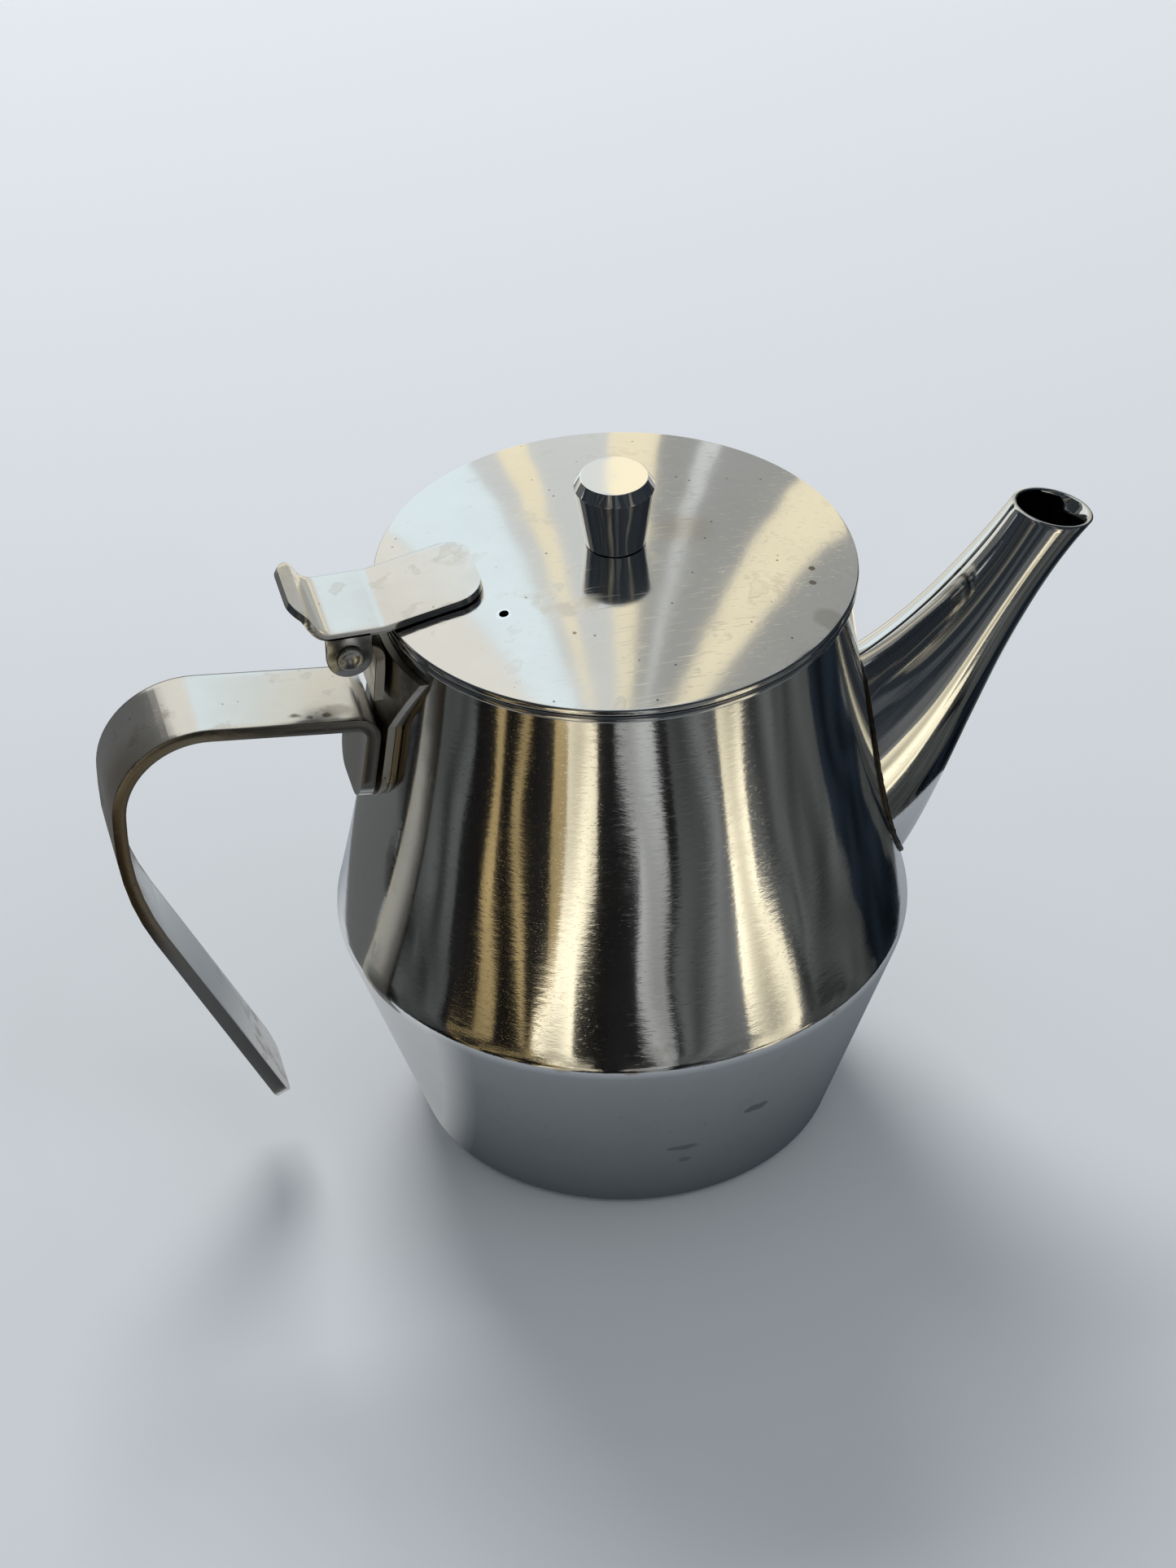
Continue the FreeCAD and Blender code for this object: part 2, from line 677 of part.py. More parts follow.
def leaf_end_corner(across):
    return lambda edge: (abs(edge.CenterOfMass.x - size(across)) < size(leaf)
                         and edge.Length < SHORT_EDGE * size(leaf))


round_edges(hinge_leaf, "leaf_end", dim("leaf_end_round"), leaf_end_corner(leaf_end_x))
round_edges(hinge_leaf, "thumb_tip", dim("thumb_tip_round"), leaf_end_corner(thumb_tip_x))

EAR_ROUND_SHARE = 0.98
ear_sketch = new_sketch(hinge_leaf, "ear_sketch", "XZ_Plane", EAR_INNER_FACE)
ear_left = f"({PIN_X} - Dims.ear_radius)"
ear_right = f"({PIN_X} + Dims.ear_radius)"
ear_bottom = f"({PIN_Z} - Dims.ear_radius)"
ear_round = f"(Dims.ear_radius * {EAR_ROUND_SHARE})"
draw(ear_sketch, [
    (ear_left, ear_bottom, ear_round),
    (ear_right, ear_bottom, ear_round),
    (ear_right, leaf_level),
    (ear_left, leaf_level),
])
ear = pad(hinge_leaf, "ear", ear_sketch, dim("ear_thickness"))
ears = hinge_leaf.newObject("PartDesign::Mirrored", "ears")
ears.Originals = [ear]
ears.MirrorPlane = (origin_plane(hinge_leaf, "XZ_Plane"), [""])
hinge_leaf.Tip = ears
doc.recompute()
ear_bore_sketch = new_sketch(hinge_leaf, "ear_bore_sketch", "XZ_Plane")
draw_circle(ear_bore_sketch, PIN_X, PIN_Z, "(Dims.pin_radius + Dims.ear_fit)")
cut_through(hinge_leaf, "ear_bores", ear_bore_sketch, both_ways=True)

# Lid: a domed disc with a turned edge, a hole for the knob's screw and a vent hole
lid_disc = new_body("lid_disc")
edge_inside = f"({LID_RADIUS} - Dims.lid_edge_width)"
vent_reach = f"({LID_RADIUS} - Dims.vent_inset)"
inside_height = f"({dome_height(edge_inside)} - Dims.lid_sheet)"
revolve(lid_disc, "lid_turned", [
    ("0", LID_APEX),
    ("0", LID_UNDERSIDE),
    (edge_inside, inside_height),
    (edge_inside, LID_EDGE_BOTTOM),
    (LID_RADIUS, LID_EDGE_BOTTOM),
    (LID_RADIUS, LID_EDGE_TOP),
], bowed={1: (DOME_RADIUS, 1), 5: (DOME_RADIUS, -1)})
round_edges(lid_disc, "lid_edge", dim("lid_edge_round"),
            lambda edge: any(is_ring(edge, LID_RADIUS, level) for level in (LID_EDGE_TOP, LID_EDGE_BOTTOM)))
lid_holes = new_sketch(lid_disc, "lid_holes", "XY_Plane")
draw_circle(lid_holes, "0", "0", "(Dims.screw_radius + Dims.screw_fit)")
draw_circle(lid_holes, f"{vent_reach} * cos(Dims.vent_angle * 1deg)",
            f"{vent_reach} * sin(Dims.vent_angle * 1deg)", dim("vent_radius"))
cut_through(lid_disc, "lid_bores", lid_holes, backwards=True)

# Locating ring under the lid
lid_locating_ring = new_body("lid_locating_ring")
ring_outer = "(Dims.neck_radius - Dims.wall - Dims.ring_clearance)"
ring_inner = f"({ring_outer} - Dims.ring_sheet)"
ring_top = f"({dome_height(ring_outer)} - Dims.lid_sheet - 2 * Dims.seat_gap)"
revolve(lid_locating_ring, "ring_turned",
        rectangle(ring_inner, ring_outer, f"({LID_EDGE_BOTTOM} - Dims.ring_depth)", ring_top))

# Knob, its screw and washer
knob = new_body("knob")
knob_top = f"({KNOB_SEAT} + Dims.knob_height)"
knob_bevel = f"({knob_top} - Dims.knob_bevel_height)"
thread = "(Dims.screw_radius + Dims.screw_fit)"
thread_end = f"({KNOB_SEAT} + Dims.screw_hole_depth)"
revolve(knob, "knob_turned", [
    (thread, KNOB_SEAT),
    (dim("knob_base_radius"), KNOB_SEAT),
    (dim("knob_widest_radius"), knob_bevel),
    (dim("knob_top_radius"), knob_top),
    ("0", knob_top),
    ("0", thread_end),
    (thread, thread_end),
])

knob_washer = new_body("knob_washer")
washer_bottom = f"({WASHER_TOP} - Dims.washer_thickness)"
revolve(knob_washer, "washer_turned", rectangle(thread, dim("washer_radius"), washer_bottom, WASHER_TOP))

knob_screw = new_body("knob_screw")
head_top = f"({washer_bottom} - Dims.seat_gap)"
head_bottom = f"({head_top} - Dims.screw_head_height)"
screw_end = f"({KNOB_SEAT} + Dims.screw_length)"
revolve(knob_screw, "screw_turned", [
    ("0", head_bottom),
    (dim("screw_head_radius"), head_bottom),
    (dim("screw_head_radius"), head_top),
    (dim("screw_radius"), head_top),
    (dim("screw_radius"), screw_end),
    ("0", screw_end),
])

PIECES = [
    body_shell, spout, spout_weld, saddle_plate, handle_strap, hinge_bracket, hinge_pin,
    hinge_leaf, lid_disc, lid_locating_ring, knob, knob_washer, knob_screw,
]

# Every feature has to have worked, and every piece has to be a sound solid
doc.recompute()
for thing in doc.Objects:
    if "Invalid" in thing.State or "Error" in thing.State:
        raise RuntimeError(f"{thing.Name} failed: {thing.State}")
for piece in PIECES:
    if piece.Shape.isNull() or not piece.Shape.isValid() or not piece.Shape.Solids:
        raise RuntimeError(f"{piece.Label} is not a sound solid")
os.makedirs("parts", exist_ok=True)
for piece in PIECES:
    piece.Shape.exportStep(f"parts/{piece.Label}.step")
    box = piece.Shape.BoundBox
    print(f"{piece.Label}: {len(piece.Shape.Solids)} solid, {piece.Shape.Volume:.0f} mm3, "
          f"x {box.XMin:.1f}..{box.XMax:.1f} y {box.YMin:.1f}..{box.YMax:.1f} "
          f"z {box.ZMin:.1f}..{box.ZMax:.1f}")
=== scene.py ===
import math
from functools import partial

import bmesh
import bpy
from mathutils import Matrix, Vector, noise


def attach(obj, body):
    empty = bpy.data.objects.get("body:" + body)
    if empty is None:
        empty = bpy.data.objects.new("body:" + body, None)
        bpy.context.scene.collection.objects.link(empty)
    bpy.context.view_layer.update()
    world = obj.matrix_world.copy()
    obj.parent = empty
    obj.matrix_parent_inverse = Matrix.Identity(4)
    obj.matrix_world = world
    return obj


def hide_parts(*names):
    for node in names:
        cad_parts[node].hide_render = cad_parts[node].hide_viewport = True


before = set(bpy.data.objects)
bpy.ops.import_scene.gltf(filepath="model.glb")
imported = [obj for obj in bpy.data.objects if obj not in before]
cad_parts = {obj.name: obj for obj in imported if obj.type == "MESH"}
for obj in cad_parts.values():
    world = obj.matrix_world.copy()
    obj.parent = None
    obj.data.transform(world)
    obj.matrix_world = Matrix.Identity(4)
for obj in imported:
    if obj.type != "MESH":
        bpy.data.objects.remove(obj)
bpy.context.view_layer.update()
scene = bpy.context.scene
scene.view_settings.view_transform = "Standard"
mm = 0.001
fullTurn = 2 * math.pi
print("frame loaded")


# node helpers, for shaders and for geometry

def addNode(tree, kind, feeds=None, **settings):
    # feeds gives each input a plain value, an output, or a node that stands for its first output
    node = tree.nodes.new(kind)
    for key, value in settings.items():
        setattr(node, key, value)
    for key, value in (feeds or {}).items():
        if isinstance(value, bpy.types.Node):
            value = value.outputs[0]
        if isinstance(value, bpy.types.NodeSocket):
            tree.links.new(value, node.inputs[key])
        else:
            node.inputs[key].default_value = value
    return node


def shaderNode(tree, kind, feeds=None, **settings):
    return addNode(tree, "ShaderNode" + kind, feeds, **settings)


def shapeNode(tree, kind, feeds=None, **settings):
    return addNode(tree, "GeometryNode" + kind, feeds, **settings)


def treeOf(values):
    return next(v for v in values if isinstance(v, bpy.types.NodeSocket)).id_data


def mathNode(operation, *values, clamp=False):
    settings = {"operation": operation, "use_clamp": clamp}
    feeds = dict(enumerate(values))
    return shaderNode(treeOf(values), "Math", feeds, **settings).outputs[0]


times = partial(mathNode, "MULTIPLY")
plus = partial(mathNode, "ADD")
minus = partial(mathNode, "SUBTRACT")
timesPlus = partial(mathNode, "MULTIPLY_ADD")


def vectorNode(operation, *values):
    feeds = dict(enumerate(values))
    return shaderNode(treeOf(values), "VectorMath", feeds, operation=operation).outputs


def smoothStep(value, low, high):
    feeds = {"Value": value, "From Min": low, "From Max": high}
    settings = {"interpolation_type": "SMOOTHSTEP"}
    return shaderNode(value.id_data, "MapRange", feeds, **settings).outputs["Result"]


def noiseAt(vector, scale, detail=2.0, rough=0.5):
    feeds = {"Vector": vector, "Scale": scale, "Detail": detail, "Roughness": rough}
    return shaderNode(vector.id_data, "TexNoise", feeds).outputs["Fac"]


def mixColour(share, first, second):
    tree = share.id_data
    node = shaderNode(tree, "Mix", {"Factor": share}, data_type="RGBA")
    for label, value in (("A", first), ("B", second)):
        socket = next(s for s in node.inputs if s.name == label and s.type == "RGBA")
        if isinstance(value, tuple):
            socket.default_value = (*value, 1.0)
        else:
            tree.links.new(value, socket)
    return next(s for s in node.outputs if s.type == "RGBA")


def objectPlace(tree):
    return shaderNode(tree, "TexCoord").outputs["Object"]


def axesOf(place):
    return shaderNode(place.id_data, "SeparateXYZ", {0: place}).outputs


def newMaterial(name):
    material = bpy.data.materials.new(name)
    material.use_nodes = True
    material.node_tree.nodes.clear()
    return material, material.node_tree


def newTree(name, kind, inputs, outputs):
    # inputs are (label, kind, value), outputs (label, kind)
    tree = bpy.data.node_groups.new(name, kind)
    addSocket = tree.interface.new_socket
    for label, socketKind, value in inputs:
        socket = addSocket(label, in_out="INPUT", socket_type="NodeSocket" + socketKind)
        if value is not None:
            socket.default_value = value
    for label, socketKind in outputs:
        addSocket(label, in_out="OUTPUT", socket_type="NodeSocket" + socketKind)
    return tree, addNode(tree, "NodeGroupInput").outputs


def newGroup(name, inputs, outputs):
    tree, given = newTree(name, "ShaderNodeTree", [(label, "Float", 0.5) for label in inputs],
                          [(label, "Float") for label in outputs])
    return tree, given, objectPlace(tree)


# fine lines round the axis, as a polishing wheel leaves them, and broader bands

spun = dict(slant=0.7, layers=dict(
    Lines=dict(round=10.0, across=2600.0, grain=(1.3, 3.0, 0.7)),
    Bands=dict(round=1.5, across=260.0, grain=(1.0, 2.0, 0.5))))


def makeSpunLines():
    tree, given, place = newGroup("spunLines", ["Fineness"], spun["layers"])
    x, y, z = axesOf(place)
    angle = mathNode("ARCTAN2", y, x)
    reach = mathNode("SQRT", plus(times(x, x), times(y, y)))
    across = times(plus(times(reach, spun["slant"]), z), given["Fineness"])
    fields = {}
    for label, layer in spun["layers"].items():
        laid = shaderNode(tree, "CombineXYZ", {
            0: times(mathNode("SINE", angle), layer["round"]),
            1: times(mathNode("COSINE", angle), layer["round"]), 2: times(across, layer["across"])})
        fields[label] = noiseAt(laid.outputs[0], *layer["grain"])
    addNode(tree, "NodeGroupOutput", fields)
    return tree


# hair scratches, dried water marks and dark specks; a grain is a noise's scale, detail, roughness

worn = dict(
    scratchLay=(60.0, 2600.0, 2600.0), scratchGrain=(1.0, 1.0), scratch=(0.69, 0.74),
    scratchTurns=[((0.3, 0.2, 0.5), 0.0), ((1.1, 0.4, 2.1), 3.0), ((0.2, 1.3, 1.2), 7.0)],
    cloudGrain=(75.0, 5.0, 0.62), markGrain=(130.0, 3.0, 0.55), markBody=(0.62, 0.66),
    markCore=(0.65, 0.72), coreFade=0.6, speckScale=330.0, speckEdge=(0.05, 0.11),
    fewGrain=(210.0, 0.0), few=(0.55, 0.60))


def makeWear():
    tree, given, place = newGroup("wear", ["Scratch Share", "Mark Share"],
                                  ["Scratches", "Marks", "Specks", "Cloud"])
    fields = []
    for turn, shift in worn["scratchTurns"]:
        laid = shaderNode(tree, "Mapping", {
            "Vector": place, "Scale": worn["scratchLay"], "Rotation": turn,
            "Location": (shift,) * 3})
        hair = noiseAt(laid.outputs["Vector"], *worn["scratchGrain"])
        fields.append(smoothStep(hair, *worn["scratch"]))
    most = mathNode("MAXIMUM", mathNode("MAXIMUM", *fields[:2]), fields[2])
    # a mark is darkest along its dried rim
    mark = noiseAt(place, *worn["markGrain"])
    core = times(smoothStep(mark, *worn["markCore"]), worn["coreFade"])
    rim = minus(smoothStep(mark, *worn["markBody"]), core)
    cells = shaderNode(tree, "TexVoronoi", {"Vector": place, "Scale": worn["speckScale"]})
    dots = minus(1.0, smoothStep(cells.outputs["Distance"], *worn["speckEdge"]))
    few = smoothStep(noiseAt(place, *worn["fewGrain"]), *worn["few"])
    addNode(tree, "NodeGroupOutput", {
        "Scratches": times(most, given["Scratch Share"]), "Marks": times(rim, given["Mark Share"]),
        "Specks": times(dots, few), "Cloud": noiseAt(place, *worn["cloudGrain"])})
    return tree


spunLines = makeSpunLines()
wear = makeWear()


def placeGroup(tree, group, values):
    return shaderNode(tree, "Group", values, node_tree=group).outputs


# places on a steel that differ from the rest of it

blotEdge = dict(grain=(420.0, 3.0), wobble=1.6 * mm)
# painted shade along the long side edges of a strip: where it starts and is full, in from the edge,
# and its colour
edgeShade = dict(outer=0.12, inner=0.42, tint=(0.055, 0.047, 0.039))


def blotMask(place, centre, inner, outer, stretch):
    # soft-edged, round a place on the piece
    shifted = vectorNode("SUBTRACT", place, [value * mm for value in centre])[0]
    length = vectorNode("LENGTH", vectorNode("MULTIPLY", shifted, stretch)[0])["Value"]
    wobble = blotEdge["wobble"]
    uneven = timesPlus(noiseAt(place, *blotEdge["grain"]), wobble, -wobble / 2)
    return minus(1.0, smoothStep(plus(length, uneven), inner * mm, outer * mm))


def heightMask(place, start, full):
    # 0 at the start height and 1 at the full height, whichever is the higher
    low, high = sorted((start, full))
    mask = smoothStep(axesOf(place)[2], low * mm, high * mm)
    return mask if full > start else minus(1.0, mask)


def edgeShadeMask(place, half):
    # painted shade on the sheared long edges of a strip
    aside = mathNode("ABSOLUTE", axesOf(place)[1])
    return smoothStep(aside, (half - edgeShade["inner"]) * mm, (half - edgeShade["outer"]) * mm)


def steelFinish(name, dark, light, rough, bandRough, scratches, marks, markColour, specks, stain,
                stainFrom, stainColour, lineDepth, scratchDepth, waviness=0.0, fineness=0.3,
                blots=(), heightLightAndShade=None, edgeShades=None, stainSoft=0.12, markShare=0.55,
                speckColour=(0.05, 0.045, 0.04), scratchRough=0.10, markRough=0.16,
                stainRough=0.22):
    material, tree = newMaterial(name)
    place = objectPlace(tree)
    lines = placeGroup(tree, spunLines, {"Fineness": fineness})
    used = placeGroup(tree, wear, {"Scratch Share": scratches, "Mark Share": marks})
    stained = times(smoothStep(used["Cloud"], stainFrom, stainFrom + stainSoft), stain)
    colour = mixColour(used["Cloud"], dark, light)
    colour = mixColour(stained, colour, stainColour)
    # each layer: where it lies, how strongly, and its colour
    layers = [(used["Marks"], markShare, markColour), (used["Specks"], specks, speckColour)]
    layers += [(blotMask(place, *shape), amount, tint) for *shape, amount, tint in blots]
    # a band painted by height: a painted highlight on the knob's flat top, painted shade on the
    # leaf's folded ears
    if heightLightAndShade:
        start, full, amount, tint = heightLightAndShade
        layers.append((heightMask(place, start, full), amount, tint))
    # painted shade along a strip's long side edges
    if edgeShades:
        half, amount = edgeShades
        layers.append((edgeShadeMask(place, half), amount, edgeShade["tint"]))
    for mask, amount, tint in layers:
        colour = mixColour(times(mask, amount), colour, tint)
    gloss = timesPlus(lines["Bands"], bandRough, rough - bandRough / 2)
    gloss = timesPlus(used["Scratches"], scratchRough, gloss)
    gloss = timesPlus(used["Marks"], markRough, gloss)
    gloss = timesPlus(stained, stainRough, gloss, clamp=True)
    height = timesPlus(used["Scratches"], -scratchDepth, times(lines["Lines"], lineDepth))
    height = timesPlus(used["Cloud"], waviness, height)
    bump = shaderNode(tree, "Bump", {"Strength": 1.0, "Distance": 1.0, "Height": height})
    steel = shaderNode(tree, "BsdfPrincipled", {
        "Base Color": colour, "Metallic": 1.0, "Roughness": gloss, "Normal": bump})
    shaderNode(tree, "OutputMaterial", {"Surface": steel})
    return material


# the finishes; depths are in metres
# a blot is its centre in mm, its solid and faded reach, its stretch, its strength and its colour

flat = (1, 1, 0.5)
potSteel = steelFinish(
    "potSteel", dark=(0.60, 0.60, 0.60), light=(0.70, 0.695, 0.685), rough=0.085, bandRough=0.05,
    scratches=0.5, marks=0.15, markColour=(0.40, 0.38, 0.36), specks=0.25,
    stain=0.25, stainFrom=0.64, stainColour=(0.42, 0.38, 0.33),
    lineDepth=11e-6, scratchDepth=3e-6,
    # dried drips under the shoulder, then brownish blots along it
    blots=[
        ((14.4, -46.5, 25.3), 1.0, 1.5, (0.55, 0.55, 1.1), 0.7, (0.20, 0.21, 0.22)),
        ((0.0, -46.2, 18.1), 0.7, 1.3, (0.33, 0.33, 1.3), 0.6, (0.24, 0.25, 0.26)),
        ((0.5, -44.7, 13.7), 0.6, 1.1, (0.6, 0.6, 1.2), 0.5, (0.26, 0.27, 0.28)),
        ((-11.9, -53.9, 45.7), 0.4, 1.3, (0.5, 0.5, 1.2), 0.6, (0.36, 0.27, 0.17)),
        ((-24.1, -49.8, 45.4), 0.3, 1.1, (0.45, 0.45, 1.3), 0.5, (0.40, 0.32, 0.22)),
        ((30.0, -46.5, 45.2), 0.3, 1.0, (0.5, 0.5, 1.3), 0.5, (0.36, 0.30, 0.24))])
lidSteel = steelFinish(
    "lidSteel", dark=(0.66, 0.655, 0.64), light=(0.76, 0.75, 0.73), rough=0.105, bandRough=0.06,
    scratches=0.6, marks=0.3, markColour=(0.52, 0.49, 0.44), specks=0.7,
    stain=0.45, stainFrom=0.60, stainColour=(0.56, 0.50, 0.42), fineness=0.6,
    lineDepth=3e-6, scratchDepth=6e-6, waviness=12e-6,
    # a brown cast beside the knob, a dried puddle at the edge, a painted highlight round the vent
    # hole and dark spots
    blots=[
        ((13.3, 1.1, 127.0), 1.0, 8.0, flat, 0.4, (0.50, 0.40, 0.26)),
        ((33.4, -27.2, 122.5), 1.6, 2.8, (0.8, 0.8, 0.5), 0.4, (0.36, 0.33, 0.28)),
        # painted highlight round the vent hole
        ((-24.5, -14.15, 125.3), 1.2, 1.5, flat, 0.5, (0.88, 0.88, 0.86)),
        ((34.0, -13.0, 123.6), 0.5, 0.8, flat, 0.85, (0.16, 0.12, 0.08)),
        ((33.0, -17.0, 123.4), 0.4, 0.7, flat, 0.8, (0.18, 0.14, 0.10)),
        ((-13.5, -23.5, 125.0), 0.35, 0.65, flat, 0.8, (0.14, 0.11, 0.08)),
        ((-16.5, -21.0, 125.0), 0.3, 0.55, flat, 0.8, (0.16, 0.12, 0.09))])
spoutSteel = steelFinish(
    "spoutSteel", dark=(0.62, 0.62, 0.62), light=(0.72, 0.72, 0.71), rough=0.07, bandRough=0.03,
    scratches=0.45, marks=0.0, markColour=(0.45, 0.43, 0.40), specks=0.15,
    stain=0.2, stainFrom=0.66, stainColour=(0.45, 0.42, 0.38), fineness=0.4,
    lineDepth=0.3e-6, scratchDepth=1.4e-6, waviness=6e-6)
knobSteel = steelFinish(
    "knobSteel", dark=(0.68, 0.68, 0.68), light=(0.76, 0.76, 0.755), rough=0.055, bandRough=0.03,
    scratches=0.3, marks=0.15, markColour=(0.55, 0.53, 0.50), specks=0.1,
    stain=0.1, stainFrom=0.66, stainColour=(0.55, 0.52, 0.48), fineness=1.4,
    lineDepth=1.2e-6, scratchDepth=0.8e-6,
    heightLightAndShade=(141.82, 141.98, 0.9, (0.90, 0.89, 0.86)))  # painted highlight: the flat top is painted brighter
strapLook = dict(
    dark=(0.60, 0.585, 0.56), light=(0.74, 0.73, 0.71), rough=0.20, bandRough=0.05,
    scratches=0.5, marks=0.5, markColour=(0.46, 0.41, 0.35), specks=0.5,
    stain=0.55, stainFrom=0.58, stainColour=(0.40, 0.33, 0.26), fineness=0.5,
    # the edge entry paints shade along the strap's long side edges
    lineDepth=1.6e-6, scratchDepth=5e-6, waviness=18e-6, edgeShades=(8.9, 0.82),
    # brown tarnish round the top bend, pits and a dull patch at the welded end
    blots=[
        ((-97.0, -8.0, 90.0), 3.0, 12.0, (0.7, 1.0, 0.45), 0.65, (0.30, 0.22, 0.14)),
        ((-96.0, -8.5, 72.0), 2.0, 9.0, (0.7, 1.0, 0.4), 0.5, (0.36, 0.27, 0.18)),
        ((-62.5, -6.2, 103.0), 0.5, 1.1, (0.6, 1, 0.5), 0.9, (0.10, 0.08, 0.06)),
        ((-60.2, -6.8, 102.6), 0.4, 0.9, (0.7, 1, 0.5), 0.9, (0.10, 0.08, 0.06)),
        ((-58.6, -5.4, 102.4), 0.4, 0.8, (0.8, 1, 0.5), 0.85, (0.12, 0.09, 0.07)),
        ((-57.0, -6.4, 102.3), 0.5, 1.0, (0.7, 1, 0.5), 0.9, (0.10, 0.08, 0.06)),
        ((-54.5, -5.0, 102.2), 1.0, 2.6, (0.7, 1, 0.5), 0.6, (0.30, 0.27, 0.24)),
        ((-50.0, 0.0, 90.0), 4.0, 11.0, (0.4, 1, 0.7), 0.55, (0.30, 0.28, 0.26))])
strapSteel = steelFinish("strapSteel", **strapLook)
leafSteel = steelFinish("leafSteel", **strapLook | dict(
    # the leaf's long side edges get a lighter painted shade
    light=(0.77, 0.76, 0.74), rough=0.17, stain=0.3, stainFrom=0.62, blots=[], edgeShades=(9.5, 0.2),
    heightLightAndShade=(121.8, 120.2, 0.7, (0.17, 0.16, 0.15))))  # painted shade: the folded ears under the leaf are painted darker
plateLook = dict(
    dark=(0.34, 0.32, 0.29), light=(0.56, 0.54, 0.50), rough=0.30, bandRough=0.08,
    scratches=0.6, marks=0.8, markColour=(0.30, 0.27, 0.23), specks=0.6,
    stain=0.75, stainFrom=0.52, stainColour=(0.24, 0.20, 0.16),
    lineDepth=0.4e-6, scratchDepth=2.6e-6, waviness=20e-6)
plateSteel = steelFinish("plateSteel", **plateLook)
pinSteel = steelFinish("pinSteel", **plateLook | dict(
    dark=(0.30, 0.29, 0.28), light=(0.50, 0.49, 0.47), rough=0.26, bandRough=0.06,
    scratches=0.5, marks=0.6, markColour=(0.26, 0.24, 0.21), specks=0.5,
    stain=0.6, stainFrom=0.55, stainColour=(0.20, 0.17, 0.14)))
weldMetal = steelFinish(
    "weldMetal", dark=(0.025, 0.022, 0.02), light=(0.11, 0.095, 0.08), rough=0.42, bandRough=0.1,
    scratches=0.2, marks=0.6, markColour=(0.12, 0.09, 0.06), specks=0.8,
    stain=0.8, stainFrom=0.5, stainColour=(0.09, 0.06, 0.035),
    lineDepth=0.0, scratchDepth=2e-6, waviness=300e-6)
print("finishes made")


# mesh helpers

closeEnough = dict(coarse=1e-6, fine=1e-7)  # points nearer than this are one


def addObject(name, mesh):
    piece = bpy.data.objects.new(name, mesh)
    scene.collection.objects.link(piece)
    return piece


def meshObject(name, verts, edges, faces, material=None):
    mesh = bpy.data.meshes.new(name)
    mesh.from_pydata(verts, edges, faces)
    if material:
        mesh.materials.append(material)
    return addObject(name, mesh)


def polyLine(name, points, closed=False):
    count = len(points)
    edges = [(i, (i + 1) % count) for i in range(count if closed else count - 1)]
    return meshObject(name, [tuple(p) for p in points], edges, [])


def newShape(name, inputs):
    inputs = [("Geometry", "Geometry", None), *inputs, ("Material", "Material", None)]
    return newTree(name, "GeometryNodeTree", inputs, [("Geometry", "Geometry")])


def endTree(tree, geometry, given):
    realized = shapeNode(tree, "RealizeInstances", {0: geometry})
    painted = shapeNode(tree, "SetMaterial", {"Geometry": realized, "Material": given["Material"]})
    addNode(tree, "NodeGroupOutput", {0: painted})
    return tree


def useTree(piece, tree, values):
    modifier = piece.modifiers.new(tree.name, "NODES")
    modifier.node_group = tree
    sockets = {item.name: item.identifier for item in tree.interface.items_tree
               if item.item_type == "SOCKET" and item.in_out == "INPUT"}
    for label, value in values.items():
        modifier[sockets[label]] = value


def settle(piece, sharpAngle, near="fine"):
    # the evaluated shape becomes the piece's own plain mesh
    graph = bpy.context.evaluated_depsgraph_get()
    mesh = bpy.data.meshes.new_from_object(piece.evaluated_get(graph))
    piece.modifiers.clear()
    piece.data = mesh
    shape = bmesh.new()
    shape.from_mesh(mesh)
    bmesh.ops.remove_doubles(shape, verts=shape.verts, dist=closeEnough[near])
    bmesh.ops.dissolve_degenerate(shape, edges=shape.edges, dist=closeEnough[near])
    bmesh.ops.recalc_face_normals(shape, faces=shape.faces)
    for face in shape.faces:
        face.smooth = True
    shape.to_mesh(mesh)
    shape.free()
    mesh.set_sharp_from_angle(angle=math.radians(sharpAngle))
    return piece


def makeTurnedTree():
    # an outline of (reach, height) points, turned about Z
    tree, given = newShape("turnedPiece", [("Steps", "Int", 128), ("Wheel", "Float", 0.02)])
    outline = shapeNode(tree, "MeshToCurve", {0: given["Geometry"]})
    wheel = shapeNode(tree, "CurvePrimitiveCircle", {
        "Resolution": given["Steps"], "Radius": given["Wheel"]})
    upright = shapeNode(tree, "SetCurveNormal", {0: wheel}, mode="Z_UP")
    turned = shapeNode(tree, "CurveToMesh", {"Curve": upright, "Profile Curve": outline})
    closed = shapeNode(tree, "MergeByDistance", {0: turned, "Distance": closeEnough["coarse"]})
    return endTree(tree, closed, given)


turnedTree = makeTurnedTree()
wheelRadius = 20.0


def turnedPiece(name, outline, material, steps, sharpAngle=30.0):
    points = [((reach - wheelRadius) * mm, -height * mm, 0) for reach, height in outline]
    piece = polyLine(name, points)
    useTree(piece, turnedTree, {"Steps": steps, "Wheel": wheelRadius * mm, "Material": material})
    return settle(piece, sharpAngle, "coarse")


arc = dict(step=5, fewest=3)  # degrees to each edge of a rounded corner, and the fewest edges


def roundedOutline(points):
    # points are (x, y, radius); inner corners with a radius become arcs
    result = []
    for i, point in enumerate(points):
        here = Vector(point[:2])
        radius = point[2] if len(point) > 2 else 0.0
        if radius <= 0 or i in (0, len(points) - 1):
            result.append(tuple(here))
            continue
        before = (Vector(points[i - 1][:2]) - here).normalized()
        after = (Vector(points[i + 1][:2]) - here).normalized()
        half = before.angle(after) / 2
        run = radius / math.tan(half)
        centre = here + (before + after).normalized() * (radius / math.sin(half))
        first = here + before * run - centre
        last = here + after * run - centre
        sweep = first.angle_signed(last)
        steps = max(arc["fewest"], int(abs(math.degrees(sweep)) / arc["step"]))
        for step in range(steps + 1):
            turned = Matrix.Rotation(-sweep * step / steps, 2) @ first
            result.append(tuple(centre + turned))
    return result


def spread(start, end, count):
    return [start + (end - start) * i / count for i in range(count + 1)]


# the pot

